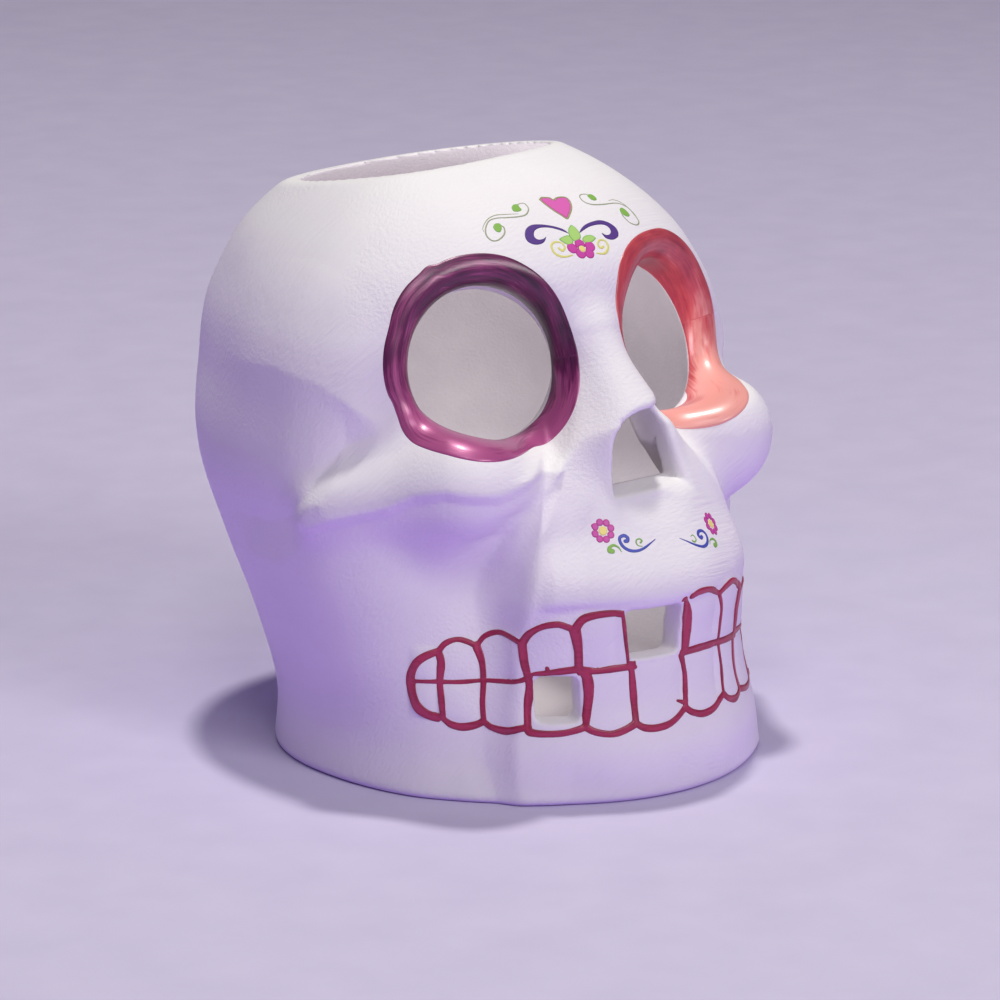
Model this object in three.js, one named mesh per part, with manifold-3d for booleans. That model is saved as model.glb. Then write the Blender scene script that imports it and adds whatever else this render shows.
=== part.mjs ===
// Skull decoration: a hollow cast ceramic skull with a slanted open top, bored eye sockets, a nose opening,
// two missing teeth, painted eye rings, a painted net of tooth lines and small transfers.
// Millimetres. The face looks toward -Y, +X is the skull's own left side, and the base rests on z = 0.
import * as THREE from 'three';
import Module from 'manifold-3d';

const wasm = await Module();
wasm.setup();

// Casting sizes
const wall = 5.5;
const floorThickness = 5;
const baseEdgeRadius = 3.5;
const floorFillet = 4;

// Toward the crown opening the wall thins to a narrow rim, between these two heights
const rimWall = 2;
const rimThinning = { from: 108, to: 128 };

// Braincase stations from the base to above the crown cut
const braincase = [
  { z: 0, front: -64, back: 39.5, half: 54, middle: -8.5 },
  { z: 12, front: -57, back: 41, half: 52, middle: -8.5 },
  { z: 30, front: -48, back: 47, half: 55, middle: -6.5 },
  { z: 48, front: -42, back: 56, half: 59.5, middle: -4.5 },
  { z: 66, front: -41, back: 63.5, half: 63, middle: -2.5 },
  { z: 84, front: -38.5, back: 69, half: 59.5, middle: -0.5 },
  { z: 100, front: -37.5, back: 67.5, half: 55.5, middle: 1.5 },
  { z: 114, front: -32.5, back: 59, half: 47, middle: 3.5 },
  { z: 126, front: -18, back: 45, half: 33, middle: 5.5 },
  { z: 136, front: 3, back: 25.5, half: 14.5, middle: 9.5 },
];
const braincaseSquareness = 2.2;

// Jaw and muzzle stations from the chin to the brow: a bowed front, cut at each side by an upright plane
// that leans in toward the nose
const muzzle = [
  { z: 0, front: -69, bow: 44, half: 35, middle: -22.5 },
  { z: 10, front: -69, bow: 45, half: 35, middle: -22.5 },
  { z: 22, front: -65.5, bow: 42.4, half: 33, middle: -22.5 },
  { z: 34, front: -65.5, bow: 41.3, half: 32, middle: -22.5 },
  { z: 46, front: -66.5, bow: 40.6, half: 31, middle: -24.5 },
  { z: 58, front: -60.5, bow: 35.5, half: 27, middle: -26.5 },
  { z: 70, front: -53.5, bow: 30, half: 19, middle: -28.5 },
  { z: 84, front: -43, bow: 24.5, half: 9, middle: -28.5 },
  { z: 98, front: -26.5, bow: 19.5, half: 10, middle: -22.5 },
  { z: 108, front: -10, bow: 12, half: 10, middle: -14 },
];
const muzzleEdge = 3;
const muzzleBlend = 6;

// Cheekbone: a swelling under each socket and a tail running back along the side
const cheekCentre = new THREE.Vector3(35, -35.3, 68);
const cheekRadii = new THREE.Vector3(13.7, 14.2, 14.5);
const cheekBlend = 10;
const cheekTail = { front: new THREE.Vector3(38, -37, 70), back: new THREE.Vector3(58, -13, 63) };
const cheekTailFrontRadius = 8;
const cheekTailBackRadius = 4.5;
const cheekTailBlend = 7;

// Nose bridge, a cone that swells from the brow to the hood over the nose opening
const noseBridge = { top: new THREE.Vector3(0, -37, 97), tip: new THREE.Vector3(0, -46.5, 77) };
const noseTopRadius = 3;
const noseTipRadius = 11;
const noseBlend = 8;

// Nose opening, an arch cut straight back through the hood
const noseHalfWidth = 9.5;
const noseSill = 65.5;
const noseCrown = 83.3;
const noseCutFront = -75;
const noseCutBack = -30;

// Behind the nose the casting is filled back to one upright plane, so that the opening is a deep one
const noseBlock = { half: 16, bottom: 60, top: 92, back: -46 };

// Eye sockets: a bore with a rolled lip, aimed outward and up
const socketCentre = new THREE.Vector3(27.3, -34.5, 94);
const socketYaw = 20;
const socketPitch = 22;
const socketBore = 17;
const socketLip = 6;
const socketDepth = 10;
const socketCollar = 2;
const socketReach = 30;
const lipOverlap = 2.6;
const lipTuck = 0.2;
const lipSink = 0.05;
const lipRoot = 4.4;
const lipMargin = 0.5;

// Brow transfers over the sockets, and the slanted cut of the crown over them: its height over the base centre
// and its rise toward the face
const browRise = 24.5;
const rimRise = 13;
const crownHeight = socketCentre.z + browRise + rimRise;
const crownRise = 0.2;

// Tooth gaps: degrees round the jaw from the middle of the face, and heights
const upperGap = { left: -13.4, right: -0.2, bottom: 31.2, top: 42.6, corner: 1.5 };
const lowerGap = { left: -30, right: -21.6, bottom: 18.4, top: 28.2, corner: 2.2 };
const gapCutInner = 38;
const gapCutOuter = 85;
const jawRadius = 65.5;

// Paint film and transfers stand this far off the casting and are this thick
const paintClearance = 0.3;
const paintThickness = 0.4;
const eyePaintOverlap = 1;
const eyePaintDepth = 2;
const transferGap = 0.15;

// Tooth lines: width of the brush line, and the net in degrees round the jaw and heights
const toothLine = 2.1;
const toothLineFine = 1.5;
const mouthCorner = { angle: 57.2, z: 25.2, above: 29.6, below: 21, turnIn: 1.2 };
const upperValleys = [
  [-51, 31.8], [-41.5, 34.6], [-31.9, 37.2], [-22.8, 41], [-14.4, 42.4],
  [1, 43.6], [9.7, 43.4], [20.5, 41.6], [31.9, 37.2], [41.5, 34.6], [51, 31.8],
];
const upperRise = 2.2;
const scallopLean = 0.25;
const lowerValleys = [
  [-51, 19.2], [-41.3, 17.7], [-31.3, 17.1], [-20.7, 17.4], [-10.6, 17.6],
  [0.4, 17.6], [10.7, 18.4], [20.7, 17.6], [31.3, 17.1], [41.3, 17.7], [51, 19.2],
];
const lowerDrop = 1.8;
const biteLine = [
  [-57, 25.2], [-51, 25.5], [-41.5, 26], [-31.8, 27.4], [-22, 29.7], [-13.6, 30.4], [-8, 30],
  [0.4, 30.2], [9.8, 30.8], [21, 29.8], [31.8, 27.4], [41.5, 26], [51, 25.5], [57, 25.2],
];
const biteBreak = [5, 7];
const lineInset = 0.06;
const uprightStop = 0.25;

// Forehead transfer: its anchor on the brow, its turn, and its outlines in millimetres on the surface
const browAnchor = { x: 1, z: socketCentre.z + browRise, turn: -3.5 };
const heart = { x: 0, y: 6.9, width: 8.6, height: 7.6, border: 0.7 };
const vineWidth = 0.7;
const vine = [
  [7.2, 9.3], [7.6, 7.8], [9.8, 6.9], [13.6, 7.1], [17, 7], [20, 5.6], [21.2, 3.4], [20.4, 1.6],
  [18.5, 1.2], [17, 2.2], [16.6, 4],
];
const vineBuds = [[10.6, 8.8, 1.3], [17.9, 4.4, 1.2]];
const scrollWidth = 1.5;
const scroll = [
  [2, -0.2], [3.9, 1.2], [6, 2.2], [8.4, 2.3], [10.8, 1.4],
  [12.2, -0.4], [11.8, -2.2], [10, -2.9], [8.4, -2.2],
];
const leafWidth = 2.4;
const leaves = [{ lean: 88, length: 4 }, { lean: 134, length: 3.9 }, { lean: 46, length: 3.9 }];
const browFlower = { x: 0, y: -4.9, radius: 2.9, petals: 6, depth: 0.5, heart: 0.9 };
const curlWidth = 0.8;
const browCurl = [
  [3.4, -6.2], [5.6, -6.2], [7.6, -5.2], [8.2, -3.6], [7, -2.4], [5.4, -2.6], [4.9, -3.7], [5.8, -4.3],
];

// Lip transfers: the outlines are for the skull's left side and are mirrored for its right
const lipAnchor = { x: 9.8, z: 56.8, turn: 0 };
const lipFlower = { x: 5.1, y: 1.7, radius: 2.9, petals: 8, depth: 0.45, heart: 1.1 };
const lipScrollWidth = 0.9;
const lipScroll = [
  [-6.6, -0.8], [-4.3, -2.4], [-1.8, -3.6], [0.8, -3.6], [2.3, -2.2],
  [2, -0.5], [0.6, 0.1], [-0.3, -0.8], [0.5, -1.4],
];
const lipCurlWidth = 0.7;
const lipOuterCurl = [[2.4, -4.1], [3.6, -3.9], [4.8, -3], [4.7, -1.7], [3.6, -1.5], [3.2, -2.3]];
const lipInnerCurl = [[-2.4, -2.5], [-1.7, -1.5], [-2.4, -0.5], [-3.5, -0.8], [-3.4, -1.7]];

// Strokes of the transfers: width of the thin ends against the full width
const swellingEnd = 0.45;
const balledEnd = 0.4;

// A heart is a sum of cosines, brought to unit size by its reach
const heartWaves = [13, -5, -2, -1];
const heartReach = 14.5;

// Colours
const chalkWhite = new THREE.MeshStandardMaterial({ color: 0xf4f2f3, roughness: 0.75, metalness: 0 });
const metallicPurple = new THREE.MeshStandardMaterial({ color: 0x7a1f68, roughness: 0.35, metalness: 0.3 });
const coral = new THREE.MeshStandardMaterial({ color: 0xe8706c, roughness: 0.4, metalness: 0 });
const crimson = new THREE.MeshStandardMaterial({ color: 0xa52a4c, roughness: 0.5, metalness: 0 });
const pink = new THREE.MeshStandardMaterial({ color: 0xd86eb0, roughness: 0.5, metalness: 0 });
const olive = new THREE.MeshStandardMaterial({ color: 0x9a9460, roughness: 0.5, metalness: 0 });
const leafGreen = new THREE.MeshStandardMaterial({ color: 0x8fc05a, roughness: 0.5, metalness: 0 });
const violet = new THREE.MeshStandardMaterial({ color: 0x4c3f80, roughness: 0.5, metalness: 0 });
const magenta = new THREE.MeshStandardMaterial({ color: 0xc83a92, roughness: 0.5, metalness: 0 });
const cream = new THREE.MeshStandardMaterial({ color: 0xf2e29a, roughness: 0.5, metalness: 0 });
const yellow = new THREE.MeshStandardMaterial({ color: 0xd8d860, roughness: 0.5, metalness: 0 });
const blue = new THREE.MeshStandardMaterial({ color: 0x3f58a8, roughness: 0.5, metalness: 0 });

// Fineness of the faceted surfaces
const skinColumns = 68;
const skinRowStep = 4.7;
const cavityColumns = 48;
const cavityRowStep = 7;
const crownCrowding = 1.25;
const roundSteps = 3;
const lipColumns = 36;
const lipSteps = 4;
const toothLineStep = 3.2;
const strokeStep = 2.2;
const discPoints = 8;
const leafPoints = 10;
const petalPoints = 4;
const heartPoints = 20;
const archSteps = 8;
const cornerSteps = 2;
const biteSamples = 200;
const faceCrowding = 0.35;
const rayReach = 110;
const halvings = 34;
const skinSteps = 6;
const probe = 0.05;
const leastSlope = 0.3;
const leastSlant = 0.5;
const cutterSize = { x: 200, y: 260, z: 60 };

// Small maths
const clamp = THREE.MathUtils.clamp;
const radians = THREE.MathUtils.degToRad;

function smoothMin(a, b, blend) {
  const h = clamp(0.5 + (0.5 * (b - a)) / blend, 0, 1);
  return b + (a - b) * h - blend * h * (1 - h);
}

function roundMax(a, b, radius) {
  const over = Math.hypot(Math.max(a + radius, 0), Math.max(b + radius, 0));
  return Math.min(-radius, Math.max(a, b)) + over;
}

function stationCurve(stations, keys) {
  const heights = stations.map((s) => s.z);
  const values = stations.flatMap((s) => keys.map((k) => s[k]));
  const curve = new THREE.CubicInterpolant(heights, values, keys.length);
  return (z) => curve.evaluate(clamp(z, heights[0], heights.at(-1)));
}
const braincaseAt = stationCurve(braincase, ['front', 'back', 'half', 'middle']);
const muzzleAt = stationCurve(muzzle, ['front', 'bow', 'half', 'middle']);

function ovalDistance(x, y, halfX, halfY, squareness) {
  const scale = (Math.abs(x / halfX) ** squareness + Math.abs(y / halfY) ** squareness) ** (1 / squareness);
  return Math.hypot(x, y) * (1 - 1 / Math.max(scale, 1e-6));
}

function ellipsoidDistance(p, centre, radii) {
  const q = p.clone().sub(centre).divide(radii);
  const scale = q.length();
  return (scale * (scale - 1)) / Math.max(q.divide(radii).length(), 1e-9);
}

function coneDistance(p, from, to, fromRadius, toRadius) {
  const line = new THREE.Line3(from, to);
  const t = line.closestPointToPointParameter(p, true);
  return p.distanceTo(line.at(t, new THREE.Vector3())) - THREE.MathUtils.lerp(fromRadius, toRadius, t);
}

// Signed value of the outer skin: negative inside, zero on the surface, the same on both sides of the face
function skin(point) {
  const p = new THREE.Vector3(Math.abs(point.x), point.y, point.z);
  const [front, back, half, middle] = braincaseAt(p.z);
  const depth = p.y < middle ? middle - front : back - middle;
  let d = ovalDistance(p.x, p.y - middle, half, depth, braincaseSquareness);
  const [lipFront, lipBow, lipHalf, lipMiddle] = muzzleAt(p.z);
  const bow = ovalDistance(p.x, p.y - lipMiddle, lipBow, lipMiddle - lipFront, 2);
  const above = Math.max(p.z - muzzle.at(-1).z, 0);
  d = smoothMin(d, roundMax(bow, p.x - lipHalf, muzzleEdge) + above, muzzleBlend);
  d = smoothMin(d, ellipsoidDistance(p, cheekCentre, cheekRadii), cheekBlend);
  const tail = coneDistance(p, cheekTail.front, cheekTail.back, cheekTailFrontRadius, cheekTailBackRadius);
  d = smoothMin(d, tail, cheekTailBlend);
  const nose = coneDistance(p, noseBridge.top, noseBridge.tip, noseTopRadius, noseTipRadius);
  return smoothMin(d, nose, noseBlend);
}

function gradient(p) {
  const along = (axis) => {
    return skin(p.clone().addScaledVector(axis, probe)) - skin(p.clone().addScaledVector(axis, -probe));
  };
  const axes = [new THREE.Vector3(1, 0, 0), new THREE.Vector3(0, 1, 0), new THREE.Vector3(0, 0, 1)];
  return new THREE.Vector3(...axes.map(along)).divideScalar(2 * probe);
}
const normalAt = (p) => gradient(p).normalize();
const skinDistance = (p) => skin(p) / Math.max(gradient(p).length(), leastSlope);

// Point where a field changes sign between two distances along a ray
function crossing(field, origin, direction, near, far) {
  let inside = near;
  let outside = far;
  for (let i = 0; i < halvings; i += 1) {
    const middle = (inside + outside) / 2;
    if (field(origin.clone().addScaledVector(direction, middle)) <= 0) inside = middle;
    else outside = middle;
  }
  return (inside + outside) / 2;
}

function onSkin(p) {
  const q = p.clone();
  for (let i = 0; i < skinSteps; i += 1) {
    const g = gradient(q);
    q.addScaledVector(g, -skin(q) / g.lengthSq());
  }
  return q;
}

// Closed bodies from rings of points. A ring turns anticlockwise seen from the end that the rings lead to.
function bodyFrom(points, triangles) {
  const geometry = new THREE.BufferGeometry();
  geometry.setAttribute('position', new THREE.Float32BufferAttribute(points.flatMap((p) => p.toArray()), 3));
  geometry.setIndex(triangles.flat());
  return geometry;
}

// Bands between rings, each quad split along its shorter diagonal
function bandTriangles(rings, wrap) {
  const size = rings[0].length;
  const triangles = [];
  const last = wrap ? rings.length : rings.length - 1;
  for (let i = 0; i < last; i += 1) {
    const n = (i + 1) % rings.length;
    for (let j = 0; j < size; j += 1) {
      const k = (j + 1) % size;
      const [a, b, c, d] = [i * size + j, i * size + k, n * size + k, n * size + j];
      if (rings[i][j].distanceTo(rings[n][k]) < rings[i][k].distanceTo(rings[n][j])) {
        triangles.push([a, b, c], [a, c, d]);
      } else {
        triangles.push([a, b, d], [b, c, d]);
      }
    }
  }
  return triangles;
}

const centroid = (ring) =>
  ring.reduce((sum, p) => sum.add(p), new THREE.Vector3()).divideScalar(ring.length);

function loft(rings) {
  const size = rings[0].length;
  const first = rings.length * size;
  const triangles = bandTriangles(rings, false);
  for (let j = 0; j < size; j += 1) {
    const k = (j + 1) % size;
    triangles.push([first, k, j], [first + 1, first - size + j, first - size + k]);
  }
  return bodyFrom([...rings.flat(), centroid(rings[0]), centroid(rings.at(-1))], triangles);
}

// A closed hoop of sections, each turning anticlockwise where out is right and the axis is up
function hoop(sections) {
  const triangles = bandTriangles(sections, true);
  return bodyFrom(sections.flat(), triangles.map((t) => t.reverse()));
}

function solid(geometry) {
  const vertProperties = geometry.getAttribute('position').array;
  const triVerts = new Uint32Array(geometry.getIndex().array);
  return new wasm.Manifold(new wasm.Mesh({ numProp: 3, vertProperties, triVerts }));
}

function meshOf(name, body, material) {
  const { vertProperties, triVerts } = body.getMesh();
  const geometry = new THREE.BufferGeometry();
  geometry.setAttribute('position', new THREE.BufferAttribute(vertProperties, 3));
  geometry.setIndex(new THREE.BufferAttribute(triVerts, 1));
  geometry.computeVertexNormals();
  const mesh = new THREE.Mesh(geometry, material);
  mesh.name = name;
  return mesh;
}

// Rows of the casting: close together round the rolled foot, then closer and closer toward the crown
function rowHeights(bottom, radius, step, top) {
  const round = [...Array(roundSteps).keys()].map((i) => {
    return bottom + radius * (1 - Math.cos(((i / roundSteps) * Math.PI) / 2));
  });
  const span = top - bottom - radius;
  const count = Math.round(span / step);
  const upper = [...Array(count + 1).keys()].map((i) => top - span * (1 - i / count) ** crownCrowding);
  return [...round, ...upper];
}

function turnedBody(field, heights, columns) {
  const rings = heights.map((z) => [...Array(columns).keys()].map((i) => {
    const turn = (i / columns) * 2 * Math.PI;
    const angle = turn - faceCrowding * Math.sin(turn);
    const direction = new THREE.Vector3(Math.sin(angle), -Math.cos(angle), 0);
    const origin = new THREE.Vector3(0, 0, z);
    return origin.clone().addScaledVector(direction, crossing(field, origin, direction, 0, rayReach));
  }));
  return solid(loft(rings));
}

function castingOutside() {
  const top = braincase.at(-1).z;
  const field = (p) => roundMax(skinDistance(p), -p.z, baseEdgeRadius);
  return turnedBody(field, rowHeights(0, baseEdgeRadius, skinRowStep, top), skinColumns);
}

function wallAt(z) {
  return THREE.MathUtils.lerp(wall, rimWall, THREE.MathUtils.smoothstep(z, rimThinning.from, rimThinning.to));
}

function castingInside() {
  const top = braincase.at(-1).z;
  const field = (p) => roundMax(skinDistance(p) + wallAt(p.z), floorThickness - p.z, floorFillet);
  return turnedBody(field, rowHeights(floorThickness, floorFillet, cavityRowStep, top), cavityColumns);
}

function crownCutter() {
  const box = new THREE.BoxGeometry(cutterSize.x, cutterSize.y, cutterSize.z);
  box.translate(0, 0, cutterSize.z / 2);
  box.rotateX(-Math.atan(crownRise));
  box.translate(0, 0, crownHeight);
  return boxSolid(box);
}

function boxSolid(box) {
  const corners = new Map();
  const points = [];
  const position = box.getAttribute('position');
  const index = [...box.getIndex().array].map((i) => {
    const p = new THREE.Vector3().fromBufferAttribute(position, i);
    const key = p.toArray().map((v) => v.toFixed(3)).join();
    if (!corners.has(key)) {
      corners.set(key, points.length);
      points.push(p);
    }
    return corners.get(key);
  });
  return solid(bodyFrom(points, index));
}

// Eye sockets: side is 1 for the skull's left eye and -1 for its right
function socketFrame(side) {
  const yaw = radians(socketYaw);
  const pitch = radians(socketPitch);
  const axis = new THREE.Vector3(
    side * Math.sin(yaw) * Math.cos(pitch), -Math.cos(yaw) * Math.cos(pitch), Math.sin(pitch),
  );
  const across = new THREE.Vector3(0, 0, 1).cross(axis).normalize();
  const up = axis.clone().cross(across);
  const centre = socketCentre.clone();
  centre.x *= side;
  return { axis, across, up, centre };
}

function socketRadial(frame, angle) {
  return frame.across.clone().multiplyScalar(Math.cos(angle)).addScaledVector(frame.up, Math.sin(angle));
}

// Point on the rolled lip: roll runs from 0 on the skin to a right angle in the bore, lift stands off it
function lipPoint(frame, angle, roll, extra, deeper, lift) {
  const out = socketRadial(frame, angle);
  const radius = socketBore + socketLip + extra - socketLip * Math.sin(roll);
  const foot = frame.centre.clone().addScaledVector(out, radius);
  const reach = crossing(skin, foot, frame.axis, -socketReach, socketReach);
  const surface = foot.addScaledVector(frame.axis, reach);
  const normal = normalAt(surface);
  const slant = Math.max(normal.dot(frame.axis), leastSlant);
  const room = reach + socketDepth - eyePaintDepth - lipMargin;
  const fall = Math.min((socketLip * (1 - Math.cos(roll))) / slant, room);
  surface.addScaledVector(frame.axis, -fall - deeper);
  const outward = normal.multiplyScalar(Math.cos(roll)).addScaledVector(out, -Math.sin(roll)).normalize();
  return surface.addScaledVector(outward, lift);
}

const rolls = [...Array(lipSteps + 1).keys()].map((i) => (i / lipSteps) * (Math.PI / 2));

function around(columns, section) {
  return hoop([...Array(columns).keys()].map((i) => section((i / columns) * 2 * Math.PI)));
}

function endPlanePoint(frame, angle, radius, depth) {
  const out = socketRadial(frame, angle);
  return frame.centre.clone().addScaledVector(out, radius).addScaledVector(frame.axis, -depth);
}

function socketPlug(side, radius, from, to) {
  const frame = socketFrame(side);
  const ring = (depth) => [...Array(lipColumns).keys()].map((i) => {
    return endPlanePoint(frame, (i / lipColumns) * 2 * Math.PI, radius, depth);
  });
  return solid(loft([ring(from), ring(to)]));
}

function lipInsert(side) {
  const frame = socketFrame(side);
  const section = (angle) => {
    const top = rolls.map((roll) => lipPoint(frame, angle, roll, 0, 0, 0));
    const rim = lipPoint(frame, angle, 0, lipOverlap, 0, -lipSink);
    const paintEdge = lipPoint(frame, angle, 0, eyePaintOverlap, 0, 0);
    const under = lipPoint(frame, angle, 0, lipOverlap, lipRoot, 0);
    const outer = endPlanePoint(frame, angle, socketBore + socketCollar, socketDepth);
    const inner = endPlanePoint(frame, angle, socketBore, socketDepth);
    return [under, rim, paintEdge, ...top, inner, outer];
  };
  return solid(around(lipColumns, section));
}

function eyePaint(side) {
  const frame = socketFrame(side);
  const section = (angle) => {
    const layer = (lift) => [
      lipPoint(frame, angle, 0, eyePaintOverlap, 0, lift),
      ...rolls.map((roll) => lipPoint(frame, angle, roll, 0, 0, lift)),
      lipPoint(frame, angle, Math.PI / 2, 0, eyePaintDepth, lift),
    ];
    return [...layer(paintClearance + paintThickness), ...layer(paintClearance).reverse()];
  };
  return solid(around(lipColumns, section));
}

// Nose arch: a flat sill, upright sides and a round crown
function noseCutter() {
  const spring = noseCrown - noseHalfWidth;
  const outline = [[-noseHalfWidth, noseSill], [noseHalfWidth, noseSill]];
  for (let i = 0; i <= archSteps; i += 1) {
    const a = (i / archSteps) * Math.PI;
    outline.push([noseHalfWidth * Math.cos(a), spring + noseHalfWidth * Math.sin(a)]);
  }
  const ring = (y) => outline.map(([x, z]) => new THREE.Vector3(x, y, z));
  return solid(loft([ring(noseCutBack), ring(noseCutFront)]));
}

function noseFilling() {
  const { half, bottom, top, back } = noseBlock;
  const corners = [[-half, bottom], [half, bottom], [half, top], [-half, top]];
  const ring = (y) => corners.map(([x, z]) => new THREE.Vector3(x, y, z));
  return solid(loft([ring(back), ring(noseCutFront)]));
}

// A missing tooth: a rounded oblong in degrees and height, cut along rays from the axis of the skull
function gapCutter(gap) {
  const middleAngle = (gap.left + gap.right) / 2;
  const halfAngle = (gap.right - gap.left) / 2;
  const middleHeight = (gap.bottom + gap.top) / 2;
  const halfHeight = (gap.top - gap.bottom) / 2;
  const cornerAngle = gap.corner / (radians(1) * jawRadius);
  const outline = [];
  for (let i = 0; i < 4; i += 1) {
    const sx = i === 0 || i === 3 ? 1 : -1;
    const sz = i < 2 ? 1 : -1;
    for (let j = 0; j <= cornerSteps; j += 1) {
      const a = ((i + j / cornerSteps) * Math.PI) / 2;
      outline.push([
        middleAngle + sx * (halfAngle - cornerAngle) + cornerAngle * Math.cos(a),
        middleHeight + sz * (halfHeight - gap.corner) + gap.corner * Math.sin(a),
      ]);
    }
  }
  const ring = (radius) => outline.map(([angle, z]) => {
    const a = radians(angle);
    return new THREE.Vector3(radius * Math.sin(a), -radius * Math.cos(a), z);
  });
  return solid(loft([ring(gapCutInner), ring(gapCutOuter)]));
}

function skullShell() {
  const sides = [1, -1];
  let cavity = castingInside();
  for (const side of sides) {
    cavity = cavity.subtract(socketPlug(side, socketBore + socketCollar, socketDepth, -socketReach));
  }
  cavity = cavity.subtract(noseFilling());
  let shell = castingOutside().subtract(cavity).subtract(crownCutter());
  for (const side of sides) {
    const radius = socketBore + socketLip + lipOverlap - lipTuck;
    shell = shell.subtract(socketPlug(side, radius, socketReach, -socketReach));
    shell = shell.add(lipInsert(side));
  }
  shell = shell.subtract(noseCutter());
  return shell.subtract(gapCutter(upperGap)).subtract(gapCutter(lowerGap));
}

// Thin film on the skin: ribbons along a line, and plates round a centre
function filmRibbon(path, width, inset = 0) {
  const sections = path.map((p, i) => {
    const ahead = path[Math.min(i + 1, path.length - 1)];
    const behind = path[Math.max(i - 1, 0)];
    const forward = ahead.clone().sub(behind).normalize();
    const side = normalAt(p).cross(forward).normalize();
    const edge = (s) => onSkin(p.clone().addScaledVector(side, (s * width(i / (path.length - 1))) / 2));
    const [left, right] = [edge(1), edge(-1)];
    const raise = (q, lift) => q.clone().addScaledVector(normalAt(q), lift);
    const bottom = paintClearance + inset;
    const top = paintClearance + paintThickness - inset;
    return [raise(left, bottom), raise(left, top), raise(right, top), raise(right, bottom)];
  });
  return solid(loft(sections));
}

function filmPlate(centre, contour) {
  const top = paintClearance + paintThickness;
  const raise = (p, lift) => {
    const q = onSkin(p);
    return q.addScaledVector(normalAt(q), lift);
  };
  const rings = [paintClearance, top].map((lift) => contour.map((p) => raise(p, lift)));
  const points = [...rings.flat(), raise(centre, paintClearance), raise(centre, top)];
  const size = contour.length;
  const triangles = bandTriangles(rings, false);
  for (let j = 0; j < size; j += 1) {
    const k = (j + 1) % size;
    triangles.push([2 * size, k, j], [2 * size + 1, size + j, size + k]);
  }
  return solid(bodyFrom(points, triangles));
}

// Tooth lines, in degrees round the jaw and heights
function jawPoint(angle, z) {
  const a = radians(angle);
  const origin = new THREE.Vector3(0, 0, z);
  const direction = new THREE.Vector3(Math.sin(a), -Math.cos(a), 0);
  return origin.clone().addScaledVector(direction, crossing(skin, origin, direction, 0, rayReach));
}

function jawStroke({ points, width, inset }) {
  const curve = new THREE.SplineCurve(points.map(([angle, z]) => new THREE.Vector2(angle, z)));
  const count = Math.max(2, Math.round(curve.getLength() / toothLineStep));
  const path = curve.getSpacedPoints(count).map((p) => jawPoint(p.x, p.y));
  return filmRibbon(path, () => width, inset);
}

function scallops(valleys, swing) {
  const points = [];
  valleys.forEach(([angle, z], i) => {
    points.push([angle, z]);
    const next = valleys[i + 1];
    if (!next) return;
    const rise = swing + Math.abs(next[1] - z) * scallopLean * Math.sign(swing);
    points.push([(angle + next[0]) / 2, (z + next[1]) / 2 + rise]);
  });
  return points;
}

// The strokes overlap where they meet: each kind lies a little inside the thickness of the one before it
function toothLines() {
  const left = upperValleys.filter(([angle]) => angle < upperGap.left);
  const right = upperValleys.filter(([angle]) => angle > upperGap.right);
  const { angle: corner, z: cornerHeight, above, below, turnIn } = mouthCorner;
  const outline = [
    ...scallops(left, upperRise).reverse(),
    [turnIn - corner, above], [-corner, cornerHeight], [turnIn - corner, below],
    ...scallops(lowerValleys, -lowerDrop),
    [corner - turnIn, below], [corner, cornerHeight], [corner - turnIn, above],
    ...scallops(right, upperRise).reverse(),
  ];
  const strokes = [
    { points: outline, width: toothLine, inset: 0 },
    { points: biteLine.slice(0, biteBreak[0] + 1), width: toothLineFine, inset: lineInset },
    { points: biteLine.slice(biteBreak[1]), width: toothLineFine, inset: lineInset },
  ];
  const biteCurve = new THREE.SplineCurve(biteLine.map(([a, z]) => new THREE.Vector2(a, z)));
  const bite = biteCurve.getPoints(biteSamples);
  const biteAt = (angle) => bite.find((p) => p.x >= angle).y;
  const upright = (angle, from, to) => {
    strokes.push({ points: [[angle, from], [angle, to]], width: toothLineFine, inset: 2 * lineInset });
  };
  for (const [angle, z] of upperValleys) upright(angle, biteAt(angle) + uprightStop, z);
  for (const [angle, z] of lowerValleys) upright(angle, z, biteAt(angle) - uprightStop);
  return strokes.map(jawStroke).reduce((net, stroke) => net.add(stroke));
}

// Transfers: a local frame on the skin, so that their outlines keep their real size
function transferFrame({ x, z, turn }, side) {
  const toward = new THREE.Vector3(0, -1, 0);
  const start = new THREE.Vector3(side * x, 0, z);
  const anchor = start.clone().addScaledVector(toward, crossing(skin, start, toward, 0, rayReach));
  const normal = normalAt(anchor);
  const right = new THREE.Vector3(0, 0, 1).cross(normal).normalize();
  const up = normal.clone().cross(right);
  const a = radians(turn);
  const u = right.clone().multiplyScalar(Math.cos(a)).addScaledVector(up, Math.sin(a));
  const v = up.clone().multiplyScalar(Math.cos(a)).addScaledVector(right, -Math.sin(a));
  return (px, py) => onSkin(anchor.clone().addScaledVector(u, px).addScaledVector(v, py));
}

function transferStroke(place, points, side, width) {
  const curve = new THREE.SplineCurve(points.map(([x, y]) => new THREE.Vector2(side * x, y)));
  const count = Math.max(3, Math.round(curve.getLength() / strokeStep));
  const path = curve.getSpacedPoints(count).map((p) => place(p.x, p.y));
  return filmRibbon(path, width);
}

function transferShape(place, cx, cy, count, radiusAt) {
  const contour = [...Array(count).keys()].map((i) => {
    const a = (i / count) * 2 * Math.PI;
    const [dx, dy] = radiusAt(a);
    return place(cx + dx, cy + dy);
  });
  return filmPlate(place(cx, cy), contour);
}

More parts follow.
